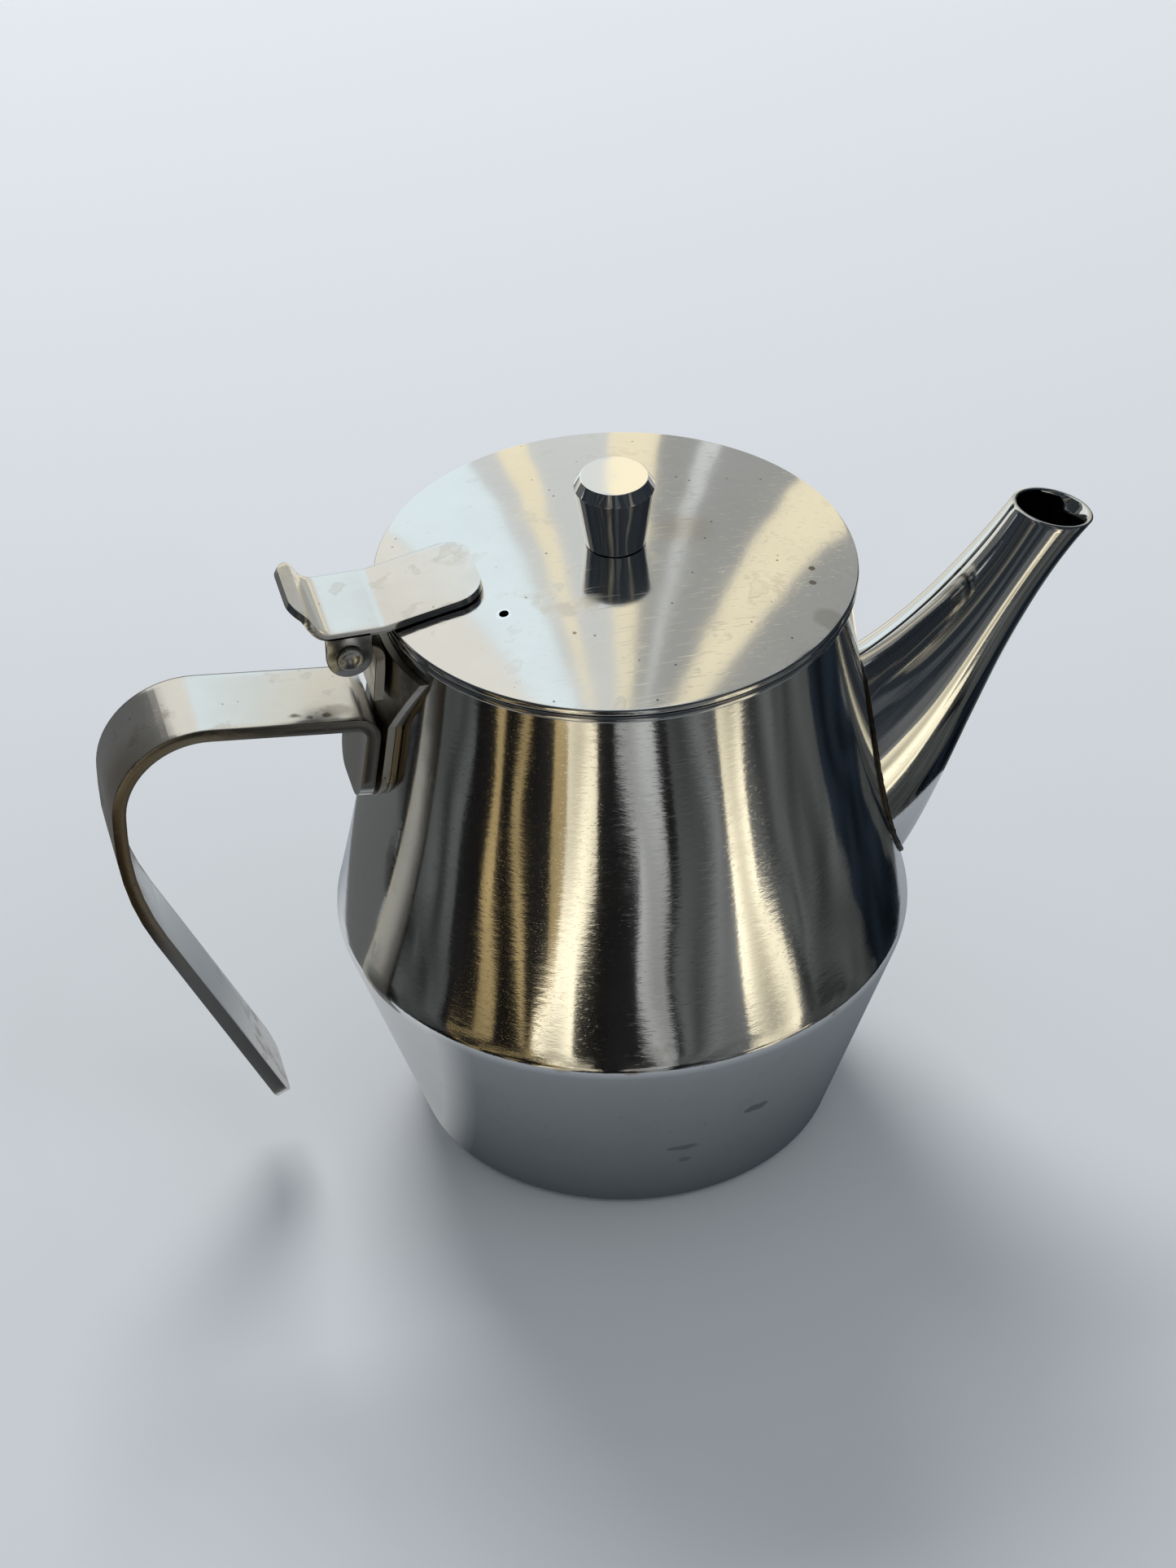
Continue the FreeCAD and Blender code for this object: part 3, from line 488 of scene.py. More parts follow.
pot = dict(
    baseRadius=40.0, baseRound=2.5, shoulderRadius=55.4, shoulderHeight=45.0, shoulderRound=5.5,
    neckRadius=43.2, rimHeight=120.0, rimBead=1.4, rimOverhang=1.6, rimRound=0.6, rimInnerRound=0.3,
    bowRadius=565.0, wall=0.8, bendAbove=4.0, bendRun=6.0, flankFrom=0.5, steps=256, floorRows=12,
    coneRows=14, flankRows=44)
flankTop = pot["rimHeight"] - pot["rimBead"]


def flankRadius(height):
    above = height - pot["shoulderHeight"]
    below = flankTop - height
    chord = (pot["neckRadius"] - pot["shoulderRadius"]) * above / (flankTop - pot["shoulderHeight"])
    return pot["shoulderRadius"] + chord - above * below / (2 * pot["bowRadius"])


def potWall(growth):
    # from the axis under the base up to the neck, with the wall moved out by growth
    joint = pot["shoulderHeight"] + pot["bendAbove"]
    beyond = joint + pot["bendRun"]
    corners = [(0, -growth), (pot["baseRadius"] + growth, -growth, pot["baseRound"] + growth),
               (pot["shoulderRadius"] + growth, pot["shoulderHeight"], pot["shoulderRound"]),
               (flankRadius(beyond) + growth, beyond)]
    outline = roundedOutline(corners)[:-1]
    floorLine = [(reach, -growth) for reach in spread(0, outline[1][0], pot["floorRows"])]
    bend = len(roundedOutline(corners[:3])) - 2
    low, high = Vector(outline[bend]), Vector(outline[bend + 1])
    sides = [tuple(low.lerp(high, share)) for share in spread(0.0, 1.0, pot["coneRows"])]
    heights = spread(joint + pot["flankFrom"], flankTop, pot["flankRows"])
    flank = [(flankRadius(z) + growth, z) for z in heights]
    return floorLine[:-1] + outline[1:bend] + sides + outline[bend + 2:] + flank


potInside = pot["neckRadius"] - pot["wall"]
rimReach = pot["neckRadius"] + pot["rimOverhang"]
rim = roundedOutline([
    (pot["neckRadius"], flankTop), (rimReach, flankTop, pot["rimRound"]),
    (rimReach, pot["rimHeight"], pot["rimRound"]),
    (potInside, pot["rimHeight"], pot["rimInnerRound"]), (potInside, flankTop)])
potOutline = potWall(0.0) + rim[1:] + potWall(-pot["wall"])[::-1][1:]
potBody = turnedPiece("potBody", potOutline, potSteel, pot["steps"])


def makeStrainerTree():
    # a small drill at each point, all taken out of the wall
    tree, given = newShape("strainerHoles", [
        ("Pieces", "Object", None), ("Hole Radius", "Float", 0.0018), ("Depth", "Float", 0.02),
        ("Drill Turn", "Vector", (0, 0, 0)), ("Drill Sides", "Int", 24)])
    places = shapeNode(tree, "ObjectInfo", {"Object": given["Pieces"]})
    drill = shapeNode(tree, "MeshCylinder", {
        "Vertices": given["Drill Sides"], "Radius": given["Hole Radius"], "Depth": given["Depth"]})
    laid = shapeNode(tree, "InstanceOnPoints", {
        "Points": places.outputs["Geometry"], "Instance": drill.outputs["Mesh"],
        "Rotation": given["Drill Turn"]})
    loose = shapeNode(tree, "RealizeInstances", {0: laid})
    cut = shapeNode(tree, "MeshBoolean", {"Mesh 1": given["Geometry"], "Mesh 2": loose},
                    operation="DIFFERENCE", solver="EXACT")
    return endTree(tree, cut, given)


strainerTree = makeStrainerTree()
drillBit = dict(sides=24, sharp=30.0)


def drillHoles(piece, points, radius, depth, turn, material):
    marks = meshObject("holeMarks", points, [], [])
    useTree(piece, strainerTree, {
        "Pieces": marks, "Hole Radius": radius * mm, "Depth": depth * mm, "Drill Turn": turn,
        "Drill Sides": drillBit["sides"], "Material": material})
    settle(piece, drillBit["sharp"])
    bpy.data.objects.remove(marks)


strainer = dict(hole=3.6, pitch=6.5, rows=5, columns=3, height=71.45, depth=12.0)
holes = []
for row in range(strainer["rows"]):
    columns = strainer["columns"] - row % 2
    lift = (row - (strainer["rows"] - 1) / 2) * strainer["pitch"] * math.sqrt(3) / 2
    for column in range(columns):
        z = strainer["height"] + lift
        y = (column - (columns - 1) / 2) * strainer["pitch"]
        holes.append((flankRadius(z) * mm, y * mm, z * mm))
drillHoles(potBody, holes, strainer["hole"] / 2, strainer["depth"], (0, math.pi / 2, 0), potSteel)
print("pot made", len(potBody.data.polygons))

# the lid, its ring, knob, washer and screw; pieces that seat on one another are seatGap apart

seatGap = 0.1
lid = dict(
    radius=45.0, gap=0.4, edgeHeight=1.3, edgeWidth=1.2, edgeRound=0.5, edgeRun=0.9, rise=6.0,
    sheet=0.8, screwHole=2.05, steps=224, topRows=48, underRows=30, ventRadius=0.9, ventReach=28.3,
    ventAngle=210.0, ventDepth=20.0)
edgeBottom = pot["rimHeight"] + lid["gap"]
edgeTop = edgeBottom + lid["edgeHeight"]
apex = edgeTop + lid["rise"]
domeRadius = (lid["radius"] ** 2 + lid["rise"] ** 2) / (2 * lid["rise"])


def domeHeight(reach):
    return apex - domeRadius + math.sqrt(domeRadius ** 2 - reach ** 2)


edgeInside = lid["radius"] - lid["edgeWidth"]
edgeStart = lid["radius"] - lid["edgeRun"]
dome = [(reach, domeHeight(reach)) for reach in spread(lid["screwHole"], edgeStart, lid["topRows"])]
underside = [(reach, domeHeight(reach) - lid["sheet"])
             for reach in spread(edgeInside, lid["screwHole"], lid["underRows"])]
corner = roundedOutline([
    (edgeStart, domeHeight(edgeStart)), (lid["radius"], edgeTop, lid["edgeRound"]),
    (lid["radius"], edgeBottom, lid["edgeRound"]), (edgeInside, edgeBottom)])
lidOutline = dome + corner[1:] + underside
lidDisc = turnedPiece("lidDisc", lidOutline + lidOutline[:1], lidSteel, lid["steps"])
ventTurn = math.radians(lid["ventAngle"])
ventPlace = (lid["ventReach"] * math.cos(ventTurn) * mm, lid["ventReach"] * math.sin(ventTurn) * mm,
             apex * mm)
drillHoles(lidDisc, [ventPlace], lid["ventRadius"], lid["ventDepth"], (0, 0, 0), lidSteel)

ring = dict(outer=41.6, sheet=0.8, depth=7.0, gap=0.2, round=0.3, steps=160)
ringTop = domeHeight(ring["outer"]) - lid["sheet"] - ring["gap"]
ringInner = ring["outer"] - ring["sheet"]
ringBottom = edgeBottom - ring["depth"]
lidRing = turnedPiece("lidRing", roundedOutline([
    (ring["outer"], ringTop), (ring["outer"], ringBottom, ring["round"]),
    (ringInner, ringBottom, ring["round"]), (ringInner, ringTop), (ring["outer"], ringTop)]),
    lidSteel, ring["steps"])

knob = dict(
    base=5.65, baseRound=0.15, widest=7.5, top=6.3, bevel=2.2, height=14.2, thread=2.05, hole=9.0,
    edge=0.22, topRows=8, steps=160, sharp=40)
seat = apex + seatGap
knobTop = seat + knob["height"]
threadEnd = seat + knob["hole"]
knobOutline = roundedOutline([
    (knob["thread"], seat), (knob["base"], seat, knob["baseRound"]),
    (knob["widest"], knobTop - knob["bevel"], knob["edge"]),
    (knob["top"], knobTop, knob["edge"]), (0, knobTop)])[:-1]
knobOutline += [(reach, knobTop) for reach in spread(knobOutline[-1][0], 0, knob["topRows"])][1:]
knobOutline += [(0, threadEnd), (knob["thread"], threadEnd), (knob["thread"], seat)]
lidKnob = turnedPiece("lidKnob", knobOutline, knobSteel, knob["steps"], knob["sharp"])

washer = dict(radius=4.75, thickness=0.8, round=0.2, steps=64)
washerTop = apex - lid["sheet"] - seatGap
washerBottom = washerTop - washer["thickness"]
knobWasher = turnedPiece("knobWasher", roundedOutline([
    (knob["thread"], washerTop), (washer["radius"], washerTop, washer["round"]),
    (washer["radius"], washerBottom, washer["round"]), (knob["thread"], washerBottom),
    (knob["thread"], washerTop)]), pinSteel, washer["steps"])

screw = dict(
    radius=2.0, length=7.5, tipRound=0.3, headRadius=3.5, headHeight=2.2, headRound=0.8,
    headEdge=0.15, steps=64)
headTop = washerBottom - seatGap
headBottom = headTop - screw["headHeight"]
screwTip = seat + screw["length"]
knobScrew = turnedPiece("knobScrew", roundedOutline([
    (0, headBottom), (screw["headRadius"], headBottom, screw["headRound"]),
    (screw["headRadius"], headTop, screw["headEdge"]), (screw["radius"], headTop),
    (screw["radius"], screwTip, screw["tipRound"]), (0, screwTip)]), pinSteel, screw["steps"])
print("lid made", len(lidDisc.data.polygons))


# strips that are bent along a path

def makeStripTree():
    tree, given = newShape("bentStrip", [
        ("Width", "Float", 0.017), ("Start Round", "Float", 0.005), ("End Round", "Float", 0.004),
        ("Across", "Int", 13)])

    def narrowed(distance, radius):
        # how far a rounded corner draws the edge in at this distance from the end
        short = minus(radius, mathNode("MINIMUM", distance, radius))
        under = minus(times(radius, radius), times(short, short))
        left = mathNode("SQRT", mathNode("MAXIMUM", under, 0.0))
        return minus(radius, left)

    path = shapeNode(tree, "MeshToCurve", {0: given["Geometry"]})
    level = shapeNode(tree, "SetCurveNormal", {0: path, "Normal": (0, 1, 0)}, mode="FREE")
    gone = shapeNode(tree, "SplineParameter").outputs["Length"]
    whole = shapeNode(tree, "SplineLength").outputs["Length"]
    half = minus(times(given["Width"], 0.5), narrowed(gone, given["Start Round"]))
    half = minus(half, narrowed(minus(whole, gone), given["End Round"]))
    kept = shapeNode(tree, "CaptureAttribute", domain="POINT")
    kept.capture_items.new("FLOAT", "half")
    tree.links.new(level.outputs[0], kept.inputs["Geometry"])
    tree.links.new(half, kept.inputs["half"])
    bar = shapeNode(tree, "CurvePrimitiveLine", {"Start": (-1, 0, 0), "End": (1, 0, 0)})
    steps = shapeNode(tree, "ResampleCurve", {"Curve": bar, "Count": given["Across"]})
    swept = shapeNode(tree, "CurveToMesh", {
        "Curve": kept.outputs["Geometry"], "Profile Curve": steps})
    shares = shaderNode(tree, "CombineXYZ", {0: 1.0, 1: kept.outputs["half"], 2: 1.0})
    spot = shapeNode(tree, "InputPosition").outputs[0]
    placed = shapeNode(tree, "SetPosition", {
        "Geometry": swept, "Position": vectorNode("MULTIPLY", spot, shares)[0]})
    return endTree(tree, placed, given)


stripTree = makeStripTree()
strip = dict(
    step=1.2, cornerSteps=10, digits=4, closest=0.02, across=13, bevelRows=3, bevelAngle=50,
    sharp=35.0)


def pathPoints(corners, startRound, endRound):
    # a bent line, with stations close together where the ends are rounded
    bent = [Vector((x, 0, z)) for x, z in roundedOutline(corners)]
    lengths = [0.0]
    for a, b in zip(bent, bent[1:]):
        lengths.append(lengths[-1] + (b - a).length)
    total = lengths[-1]
    stations = lengths + spread(0, total, int(total / strip["step"]))
    for i in range(strip["cornerSteps"] + 1):
        drop = 1 - math.cos(math.pi / 2 * i / strip["cornerSteps"])
        stations += [startRound * drop, total - endRound * drop]
    stations = sorted(s for s in {round(s, strip["digits"]) for s in stations} if 0 <= s <= total)
    kept = [stations[0]]
    for s in stations[1:]:
        if s - kept[-1] > strip["closest"]:
            kept.append(s)
    points = []
    index = 0
    for s in kept:
        while index < len(lengths) - 2 and s > lengths[index + 1]:
            index += 1
        share = (s - lengths[index]) / (lengths[index + 1] - lengths[index])
        points.append(bent[index].lerp(bent[index + 1], share) * mm)
    return points


def softenEdges(piece, width, segments, angle):
    bevel = piece.modifiers.new("edges", "BEVEL")
    bevel.width = width * mm
    bevel.segments = segments
    bevel.limit_method = "ANGLE"
    bevel.angle_limit = math.radians(angle)
    return bevel


def bentStrip(name, corners, sizes, material):
    startRound, endRound = sizes["startRound"], sizes["endRound"]
    piece = polyLine(name, pathPoints(corners, startRound, endRound))
    useTree(piece, stripTree, {
        "Width": sizes["width"] * mm, "Start Round": startRound * mm, "End Round": endRound * mm,
        "Across": strip["across"], "Material": material})
    solid = piece.modifiers.new("sheet", "SOLIDIFY")
    solid.thickness = sizes["thickness"] * mm
    solid.offset = 0.0
    softenEdges(piece, sizes["edge"], strip["bevelRows"], strip["bevelAngle"])
    return settle(piece, strip["sharp"])


saddleThickness = 1.5


def onPlate(height, thickness):
    return -flankRadius(height) - (seatGap + saddleThickness) - seatGap - thickness / 2


strap = dict(
    width=17.8, thickness=2.6, tabBottom=82.5, startRound=5.5, height=100.9, bend=3.2, rise=6.6,
    reach=98.5, topBend=16.2, waist=71.0, waistBend=58.0, tip=(-69.5, 14.4), endRound=4.0,
    edge=0.35)
bendX = onPlate(strap["height"], strap["thickness"])
backX = strap["thickness"] / 2 - strap["reach"]
cornerZ = strap["height"] + (bendX - backX) * math.tan(math.radians(strap["rise"]))
handle = bentStrip("handle", [
    (onPlate(strap["tabBottom"], strap["thickness"]), strap["tabBottom"]),
    (bendX, strap["height"], strap["bend"]), (backX, cornerZ, strap["topBend"]),
    (backX, strap["waist"], strap["waistBend"]), strap["tip"]], strap, strapSteel)
print("handle made", len(handle.data.polygons))

pin = dict(x=-52.5, z=117.5, radius=1.6, headRadius=2.6, headHeight=0.9, steps=64,
           # the dished head: (reach, depth under its highest ring)
           dish=[(0, 0.55), (0.9, 0.5), (1.5, 0.25), (1.85, 0.02), (2.1, 0.0), (2.35, 0.06)],
           headEdge=0.32, headFoot=0.05)
leaf = dict(
    width=19.0, thickness=1.4, inner=26.5, touch=36.0, knee=45.8, kneeBend=8.0, startRound=5.4,
    foot=57.7, footBend=4.2, crest=60.5, crestRise=4.7, crestBend=2.0, tip=62.9, tipRise=6.0,
    endRound=5.0, edge=0.3, earRadius=4.3, earThickness=1.3, earFull=0.98, earEdge=0.25,
    earAngle=50, earRows=2, earProfile=0.5)
slope = leaf["touch"] / math.sqrt(domeRadius ** 2 - leaf["touch"] ** 2)


def leafHeight(reach):
    rest = domeHeight(leaf["touch"]) + seatGap + leaf["thickness"] / 2
    return rest + (leaf["touch"] - reach) * slope


leafLevel = leafHeight(leaf["knee"])
hingeLeaf = bentStrip("hingeLeaf", [
    (-leaf["inner"], leafHeight(leaf["inner"])), (-leaf["knee"], leafLevel, leaf["kneeBend"]),
    (-leaf["foot"], leafLevel, leaf["footBend"]),
    (-leaf["crest"], leafLevel + leaf["crestRise"], leaf["crestBend"]),
    (-leaf["tip"], leafLevel + leaf["tipRise"])], leaf, leafSteel)


def addEars(piece):
    # the two ears that hang from the leaf's long edges
    shape = bmesh.new()
    shape.from_mesh(piece.data)
    radius, thickness = leaf["earRadius"], leaf["earThickness"]
    bend = radius * leaf["earFull"]
    top = leafLevel - pin["z"]
    outline = roundedOutline([(-radius, top), (-radius, -radius, bend),
                              (radius, -radius, bend), (radius, top)])
    for side in (-1, 1):
        ear = bmesh.new()
        face = ear.faces.new([ear.verts.new(((pin["x"] + x) * mm, 0, (pin["z"] + z) * mm))
                              for x, z in outline])
        grown = bmesh.ops.extrude_face_region(ear, geom=[face])
        moved = [v for v in grown["geom"] if isinstance(v, bmesh.types.BMVert)]
        bmesh.ops.translate(ear, verts=moved, vec=(0, thickness * mm, 0))
        bmesh.ops.recalc_face_normals(ear, faces=ear.faces)
        rims = [e for e in ear.edges if e.calc_face_angle(0) > math.radians(leaf["earAngle"])]
        bmesh.ops.bevel(ear, geom=rims, offset=leaf["earEdge"] * mm, affect="EDGES",
                        segments=leaf["earRows"], profile=leaf["earProfile"])
        aside = (side * (leaf["width"] - thickness) / 2 - thickness / 2) * mm
        bmesh.ops.translate(ear, verts=ear.verts, vec=(0, aside, 0))
        for earFace in ear.faces:
            earFace.smooth = True
        part = bpy.data.meshes.new("ear")
        ear.to_mesh(part)
        ear.free()
        shape.from_mesh(part)
        bpy.data.meshes.remove(part)
    shape.to_mesh(piece.data)
    shape.free()
    piece.data.set_sharp_from_angle(angle=math.radians(strip["sharp"]))


addEars(hingeLeaf)

# the rivet, with a dished head outside each ear
pinHalf = leaf["width"] / 2 + seatGap / 2
headOut = pinHalf + pin["headHeight"]
pinOutline = [(reach, headOut - depth) for reach, depth in pin["dish"]]
pinOutline += [(pin["headRadius"], headOut - pin["headEdge"]),
               (pin["headRadius"], pinHalf + pin["headFoot"]),
               (pin["headRadius"] - pin["headFoot"], pinHalf), (pin["radius"], pinHalf)]
pinOutline += [(reach, -y) for reach, y in pinOutline[::-1]]
hingePin = turnedPiece("hingePin", pinOutline, pinSteel, pin["steps"])
pinPlace = Matrix.Translation((pin["x"] * mm, 0, pin["z"] * mm))
hingePin.data.transform(pinPlace @ Matrix.Rotation(math.pi / 2, 4, "X"))
print("hinge made")

# the spout

spout = dict(wall=0.9, rootTop=90.4, rootBottom=44.5, sink=3.0, rootHalf=15.5,
             lipHalf=7.1, lipTop=(77.1, 0, 121.8), lipBottom=(92.7, 0, 117.4), topAngle=28.0,
             topPull=21.0, bottomAngle=50.0, bottomPull=18.5, lipAngle=46.0, lipPull=29.0,
             narrowing=1.3, around=144, along=90, sharp=50.0,
             # the open seam along the top, with its notch at the lip
             seamColumns=[0.009, 0.018, 0.03, 0.045], seamClear=0.05, seamDepth=0.28,
             seamWidth=0.35, seamFlat=0.75, notchWidth=0.8, notchRun=0.03, notchDepth=0.5,
             lipArc=(30, 60, 90, 120, 150), lipFlat=0.8, lipFrom=0.97,
             rootReach=0.6, halvings=40)


def polar(angle, length):
    turn = math.radians(angle)
    return Vector((length * math.cos(turn), 0, length * math.sin(turn)))


def bezier(points, share):
    while len(points) > 1:
        points = [a + (b - a) * share for a, b in zip(points, points[1:])]
    return points[0]


rootTop = Vector((flankRadius(spout["rootTop"]) - spout["sink"], 0, spout["rootTop"]))
rootBottom = Vector((pot["shoulderRadius"] - spout["sink"], 0, spout["rootBottom"]))
lipTop, lipBottom = Vector(spout["lipTop"]), Vector(spout["lipBottom"])
topLine = [rootTop, rootTop + polar(spout["topAngle"], spout["topPull"]), lipTop]
bottomLine = [rootBottom, rootBottom + polar(spout["bottomAngle"], spout["bottomPull"]),
              lipBottom - polar(spout["lipAngle"], spout["lipPull"]), lipBottom]


def spoutPoint(share, turn, growth):
    top = bezier(topLine, share)
    bottom = bezier(bottomLine, share)
    tall = (top - bottom).length / 2 + growth
    flare = (spout["rootHalf"] - spout["lipHalf"]) * max(0.0, 1 - share) ** spout["narrowing"]
    wide = spout["lipHalf"] + flare + growth
    way = (top - bottom).normalized()
    across = Vector((0, wide * math.sin(turn), 0))
    return (top + bottom) / 2 + way * (tall * math.cos(turn)) + across


def potRadiusAt(height):
    if height >= pot["shoulderHeight"]:
        return flankRadius(height)
    flare = pot["shoulderRadius"] - pot["baseRadius"]
    return pot["baseRadius"] + flare * height / pot["shoulderHeight"]


def rootShare(turn, growth, proud=0.0):
    # where the spout's skin meets the pot's
    low, high = 0.0, spout["rootReach"]
    for step in range(spout["halvings"]):
        middle = (low + high) / 2
        point = spoutPoint(middle, turn, growth)
        if math.hypot(point.x, point.y) < potRadiusAt(point.z) + proud:
            low = middle
        else:
            high = middle
    return high


def seamDip(share, turn, travel, point):
    # the seam's groove, which deepens to a notch at the lip
    away = turn if turn < math.pi else turn - fullTurn
    top, bottom = bezier(topLine, share), bezier(bottomLine, share)
    aside = abs(away) * ((top - bottom).length / 2) * spout["seamFlat"]
    dip = max(0.0, 1 - aside / spout["seamWidth"]) * spout["seamDepth"]
    late = max(0.0, (travel - (1 - spout["notchRun"])) / spout["notchRun"])
    notch = max(0.0, 1 - aside / spout["notchWidth"]) * late * spout["notchDepth"]
    return ((top + bottom) / 2 - point).normalized() * (dip + notch)


def makeSpout():
    # even columns, with closer ones beside the seam
    even = [fullTurn * i / spout["around"] for i in range(spout["around"])]
    turns = [t for t in even if not 0 < min(t, fullTurn - t) < spout["seamClear"]]
    turns += [side * s % fullTurn for side in (-1, 1) for s in spout["seamColumns"]]
    turns.sort()
    count = len(turns)
    verts, faces = [], []

    def addRing(points):
        verts.extend(point * mm for point in points)
        return list(range(len(verts) - count, len(verts)))

    def addRings(growth, grooved):
        starts = [rootShare(t, growth) for t in turns]
        rings = []
        for row in range(spout["along"] + 1):
            travel = row / spout["along"]
            points = []
            for turn, start in zip(turns, starts):
                share = start + (1 - start) * travel
                point = spoutPoint(share, turn, growth)
                if grooved:
                    point = point + seamDip(share, turn, travel, point)
                points.append(point)
            rings.append(addRing(points))
        return rings

    outside = addRings(0.0, True)
    # the lip's edge is rounded over
    half = spout["wall"] / 2
    way = ((lipTop - bezier(topLine, spout["lipFrom"])).normalized()
           + (lipBottom - bezier(bottomLine, spout["lipFrom"])).normalized()).normalized()
    lipRings = []
    for angle in spout["lipArc"]:
        growth = -half + half * math.cos(math.radians(angle))
        lift = (half * math.sin(math.radians(angle)) - half) * spout["lipFlat"]
        lipRings.append(addRing([spoutPoint(1.0, turn, growth) + way * lift for turn in turns]))
    inside = addRings(-spout["wall"], False)
    chain = outside[:-1] + lipRings + inside[:-1][::-1]
    for a, b in [*zip(chain, chain[1:]), (inside[0], outside[0])]:
        for i in range(count):
            j = (i + 1) % count
            faces.append((a[i], a[j], b[j], b[i]))
    return settle(meshObject("spoutTube", verts, [], faces, spoutSteel), spout["sharp"])


spoutTube = makeSpout()


def makeWeldTree():
    # an uneven bead along a closed line
    tree, given = newShape("weldBead", [
        ("Bead Radius", "Float", 0.0009), ("Bead Sides", "Int", 14), ("Roughness", "Float", 0.0005),
        ("Grain", "Float", 900.0), ("Seed", "Float", 3.0)])
    path = shapeNode(tree, "MeshToCurve", {0: given["Geometry"]})
    bead = shapeNode(tree, "CurvePrimitiveCircle", {
        "Resolution": given["Bead Sides"], "Radius": given["Bead Radius"]})
    swept = shapeNode(tree, "CurveToMesh", {"Curve": path, "Profile Curve": bead})
    lumps = shaderNode(tree, "TexNoise", {
        "Scale": given["Grain"], "W": given["Seed"], "Detail": weld["detail"]},
        noise_dimensions="4D")
    level = minus(lumps.outputs["Fac"], 0.5)
    push = shaderNode(tree, "VectorMath", {
        0: shapeNode(tree, "InputNormal"),
        "Scale": times(level, given["Roughness"])}, operation="SCALE")
    moved = shapeNode(tree, "SetPosition", {"Geometry": swept, "Offset": push})
    return endTree(tree, moved, given)


weld = dict(
    bead=0.42, sides=14, rough=0.6, grain=700.0, detail=3.0, seed=3.0, steps=420, proud=0.25,
    sharp=60.0)
weldLine = []
for i in range(weld["steps"]):
    turn = fullTurn * i / weld["steps"]
    share = rootShare(turn, weld["proud"], weld["proud"])
    weldLine.append(spoutPoint(share, turn, weld["proud"]) * mm)
spoutWeld = polyLine("spoutWeld", weldLine, closed=True)
useTree(spoutWeld, makeWeldTree(), {
    "Bead Radius": weld["bead"] * mm, "Bead Sides": weld["sides"], "Roughness": weld["rough"] * mm,
    "Grain": weld["grain"], "Seed": weld["seed"], "Material": weldMetal})
settle(spoutWeld, weld["sharp"])
print("spout made", len(spoutTube.data.polygons))

# the plate and the bracket keep their CAD shape, with softened edges

cadEdges = dict(rows=2, angle=40, widths={"saddle_plate": 0.35, "hinge_bracket": 0.3})
for nodeName, width in cadEdges["widths"].items():
    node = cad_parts[nodeName]
    node.data.materials.clear()
    node.data.materials.append(plateSteel)
    joined = node.modifiers.new("joined", "WELD")
    joined.merge_threshold = closeEnough["coarse"]
    softenEdges(node, width, cadEdges["rows"], cadEdges["angle"]).harden_normals = True

for piece, body, node, slotName in (
        (potBody, "pot", "body_shell", "pot_steel"), (spoutTube, "pot", "spout", "spout_steel"),
        (spoutWeld, "pot", "spout_weld", "weld_metal"),
        (handle, "pot", "handle_strap", "strap_steel"),
        (hingeLeaf, "lid", "hinge_leaf", "strap_steel"),
        (hingePin, "lid", "hinge_pin", "pin_steel"), (lidDisc, "lid", "lid_disc", "lid_steel"),
        (lidRing, "lid", "lid_locating_ring", "lid_steel"),
        (lidKnob, "lid", "knob", "knob_steel"), (knobWasher, "lid", "knob_washer", "pin_steel"),
        (knobScrew, "lid", "knob_screw", "pin_steel")):
    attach(piece, body)
    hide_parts(node)
print("pieces placed")

# the set: a pale floor, soft lamps and boards that the steel mirrors

floorSet = dict(half=3.0, drop=0.0002, colour=(0.74, 0.775, 0.82), rough=0.9, shine=0.2)
floorPale, floorTree = newMaterial("floorPale")
floorShader = shaderNode(floorTree, "BsdfPrincipled", {
    "Base Color": (*floorSet["colour"], 1), "Roughness": floorSet["rough"],
    "Specular IOR Level": floorSet["shine"]})
shaderNode(floorTree, "OutputMaterial", {"Surface": floorShader})
half = floorSet["half"]
floorCorners = [(-half, -half, 0), (half, -half, 0), (half, half, 0), (-half, half, 0)]
floor = meshObject("floor", floorCorners, [], [(0, 1, 2, 3)], floorPale)
floor.location.z = -floorSet["drop"]

# boards round the pot, seen by the steel only: they lie on the floor near it and then stand up
boards = dict(
    near=0.116, radius=0.21, high=0.80, lift=0.0004, flatRows=40, wallRows=30,
    wallBend=1.5, density=1.2, fewest=3,
    # the boards before leftEnd glow above dimAbove; those of the front fade there
    leftEnd=132, front=(158, 392), dimAbove=0.07, dimOver=0.05, dim=0.9,
    leftGlow=(0.84, 0.82, 0.75), frontGlow=(0.026, 0.033, 0.042), noGlow=(0.0, 0.0, 0.0),
    # uneven edges and patches: each noise has its grain round and up, and its seed
    sway=13.0, calm=14, rippleShare=0.12, patchy=1.2, foot=0.6, gain=0.55,
    wave=(0.04, 52.0, 2.0), ripple=(0.3, 120.0, 5.0), patch=(0.16, 42.0, 9.0),
    tones=dict(black=(0.01, 0.01, 0.01), slate=(0.08, 0.085, 0.085), grey=(0.14, 0.145, 0.145),
               light=(0.41, 0.42, 0.41), silver=(0.76, 0.79, 0.79), ice=(0.96, 1.10, 1.16),
               bronze=(0.40, 0.30, 0.14), cream=(1.10, 1.00, 0.74), navy=(0.012, 0.018, 0.026)),
    # where each board starts, in degrees from the spout, and its tone
    strips=[(104, "grey"), (132, "grey"), (158, "black"), (172, "slate"), (193, "black"),
            (203, "bronze"), (207, "black"), (216, "bronze"), (220, "black"), (230, "bronze"),
            (234, "cream"), (245, "black"), (260, "light"), (271, "black"), (275, "slate"),
            (284, "grey"), (299, "cream"), (310, "slate"), (350, "navy"), (376, "slate"),
            (392, "light"), (408, "cream"), (417, "light"), (426, "silver"), (428, "light"),
            (432, "cream"), (437, "silver"), (445, "cream"), (448, "silver"), (451, "ice"),
            (464, "")])
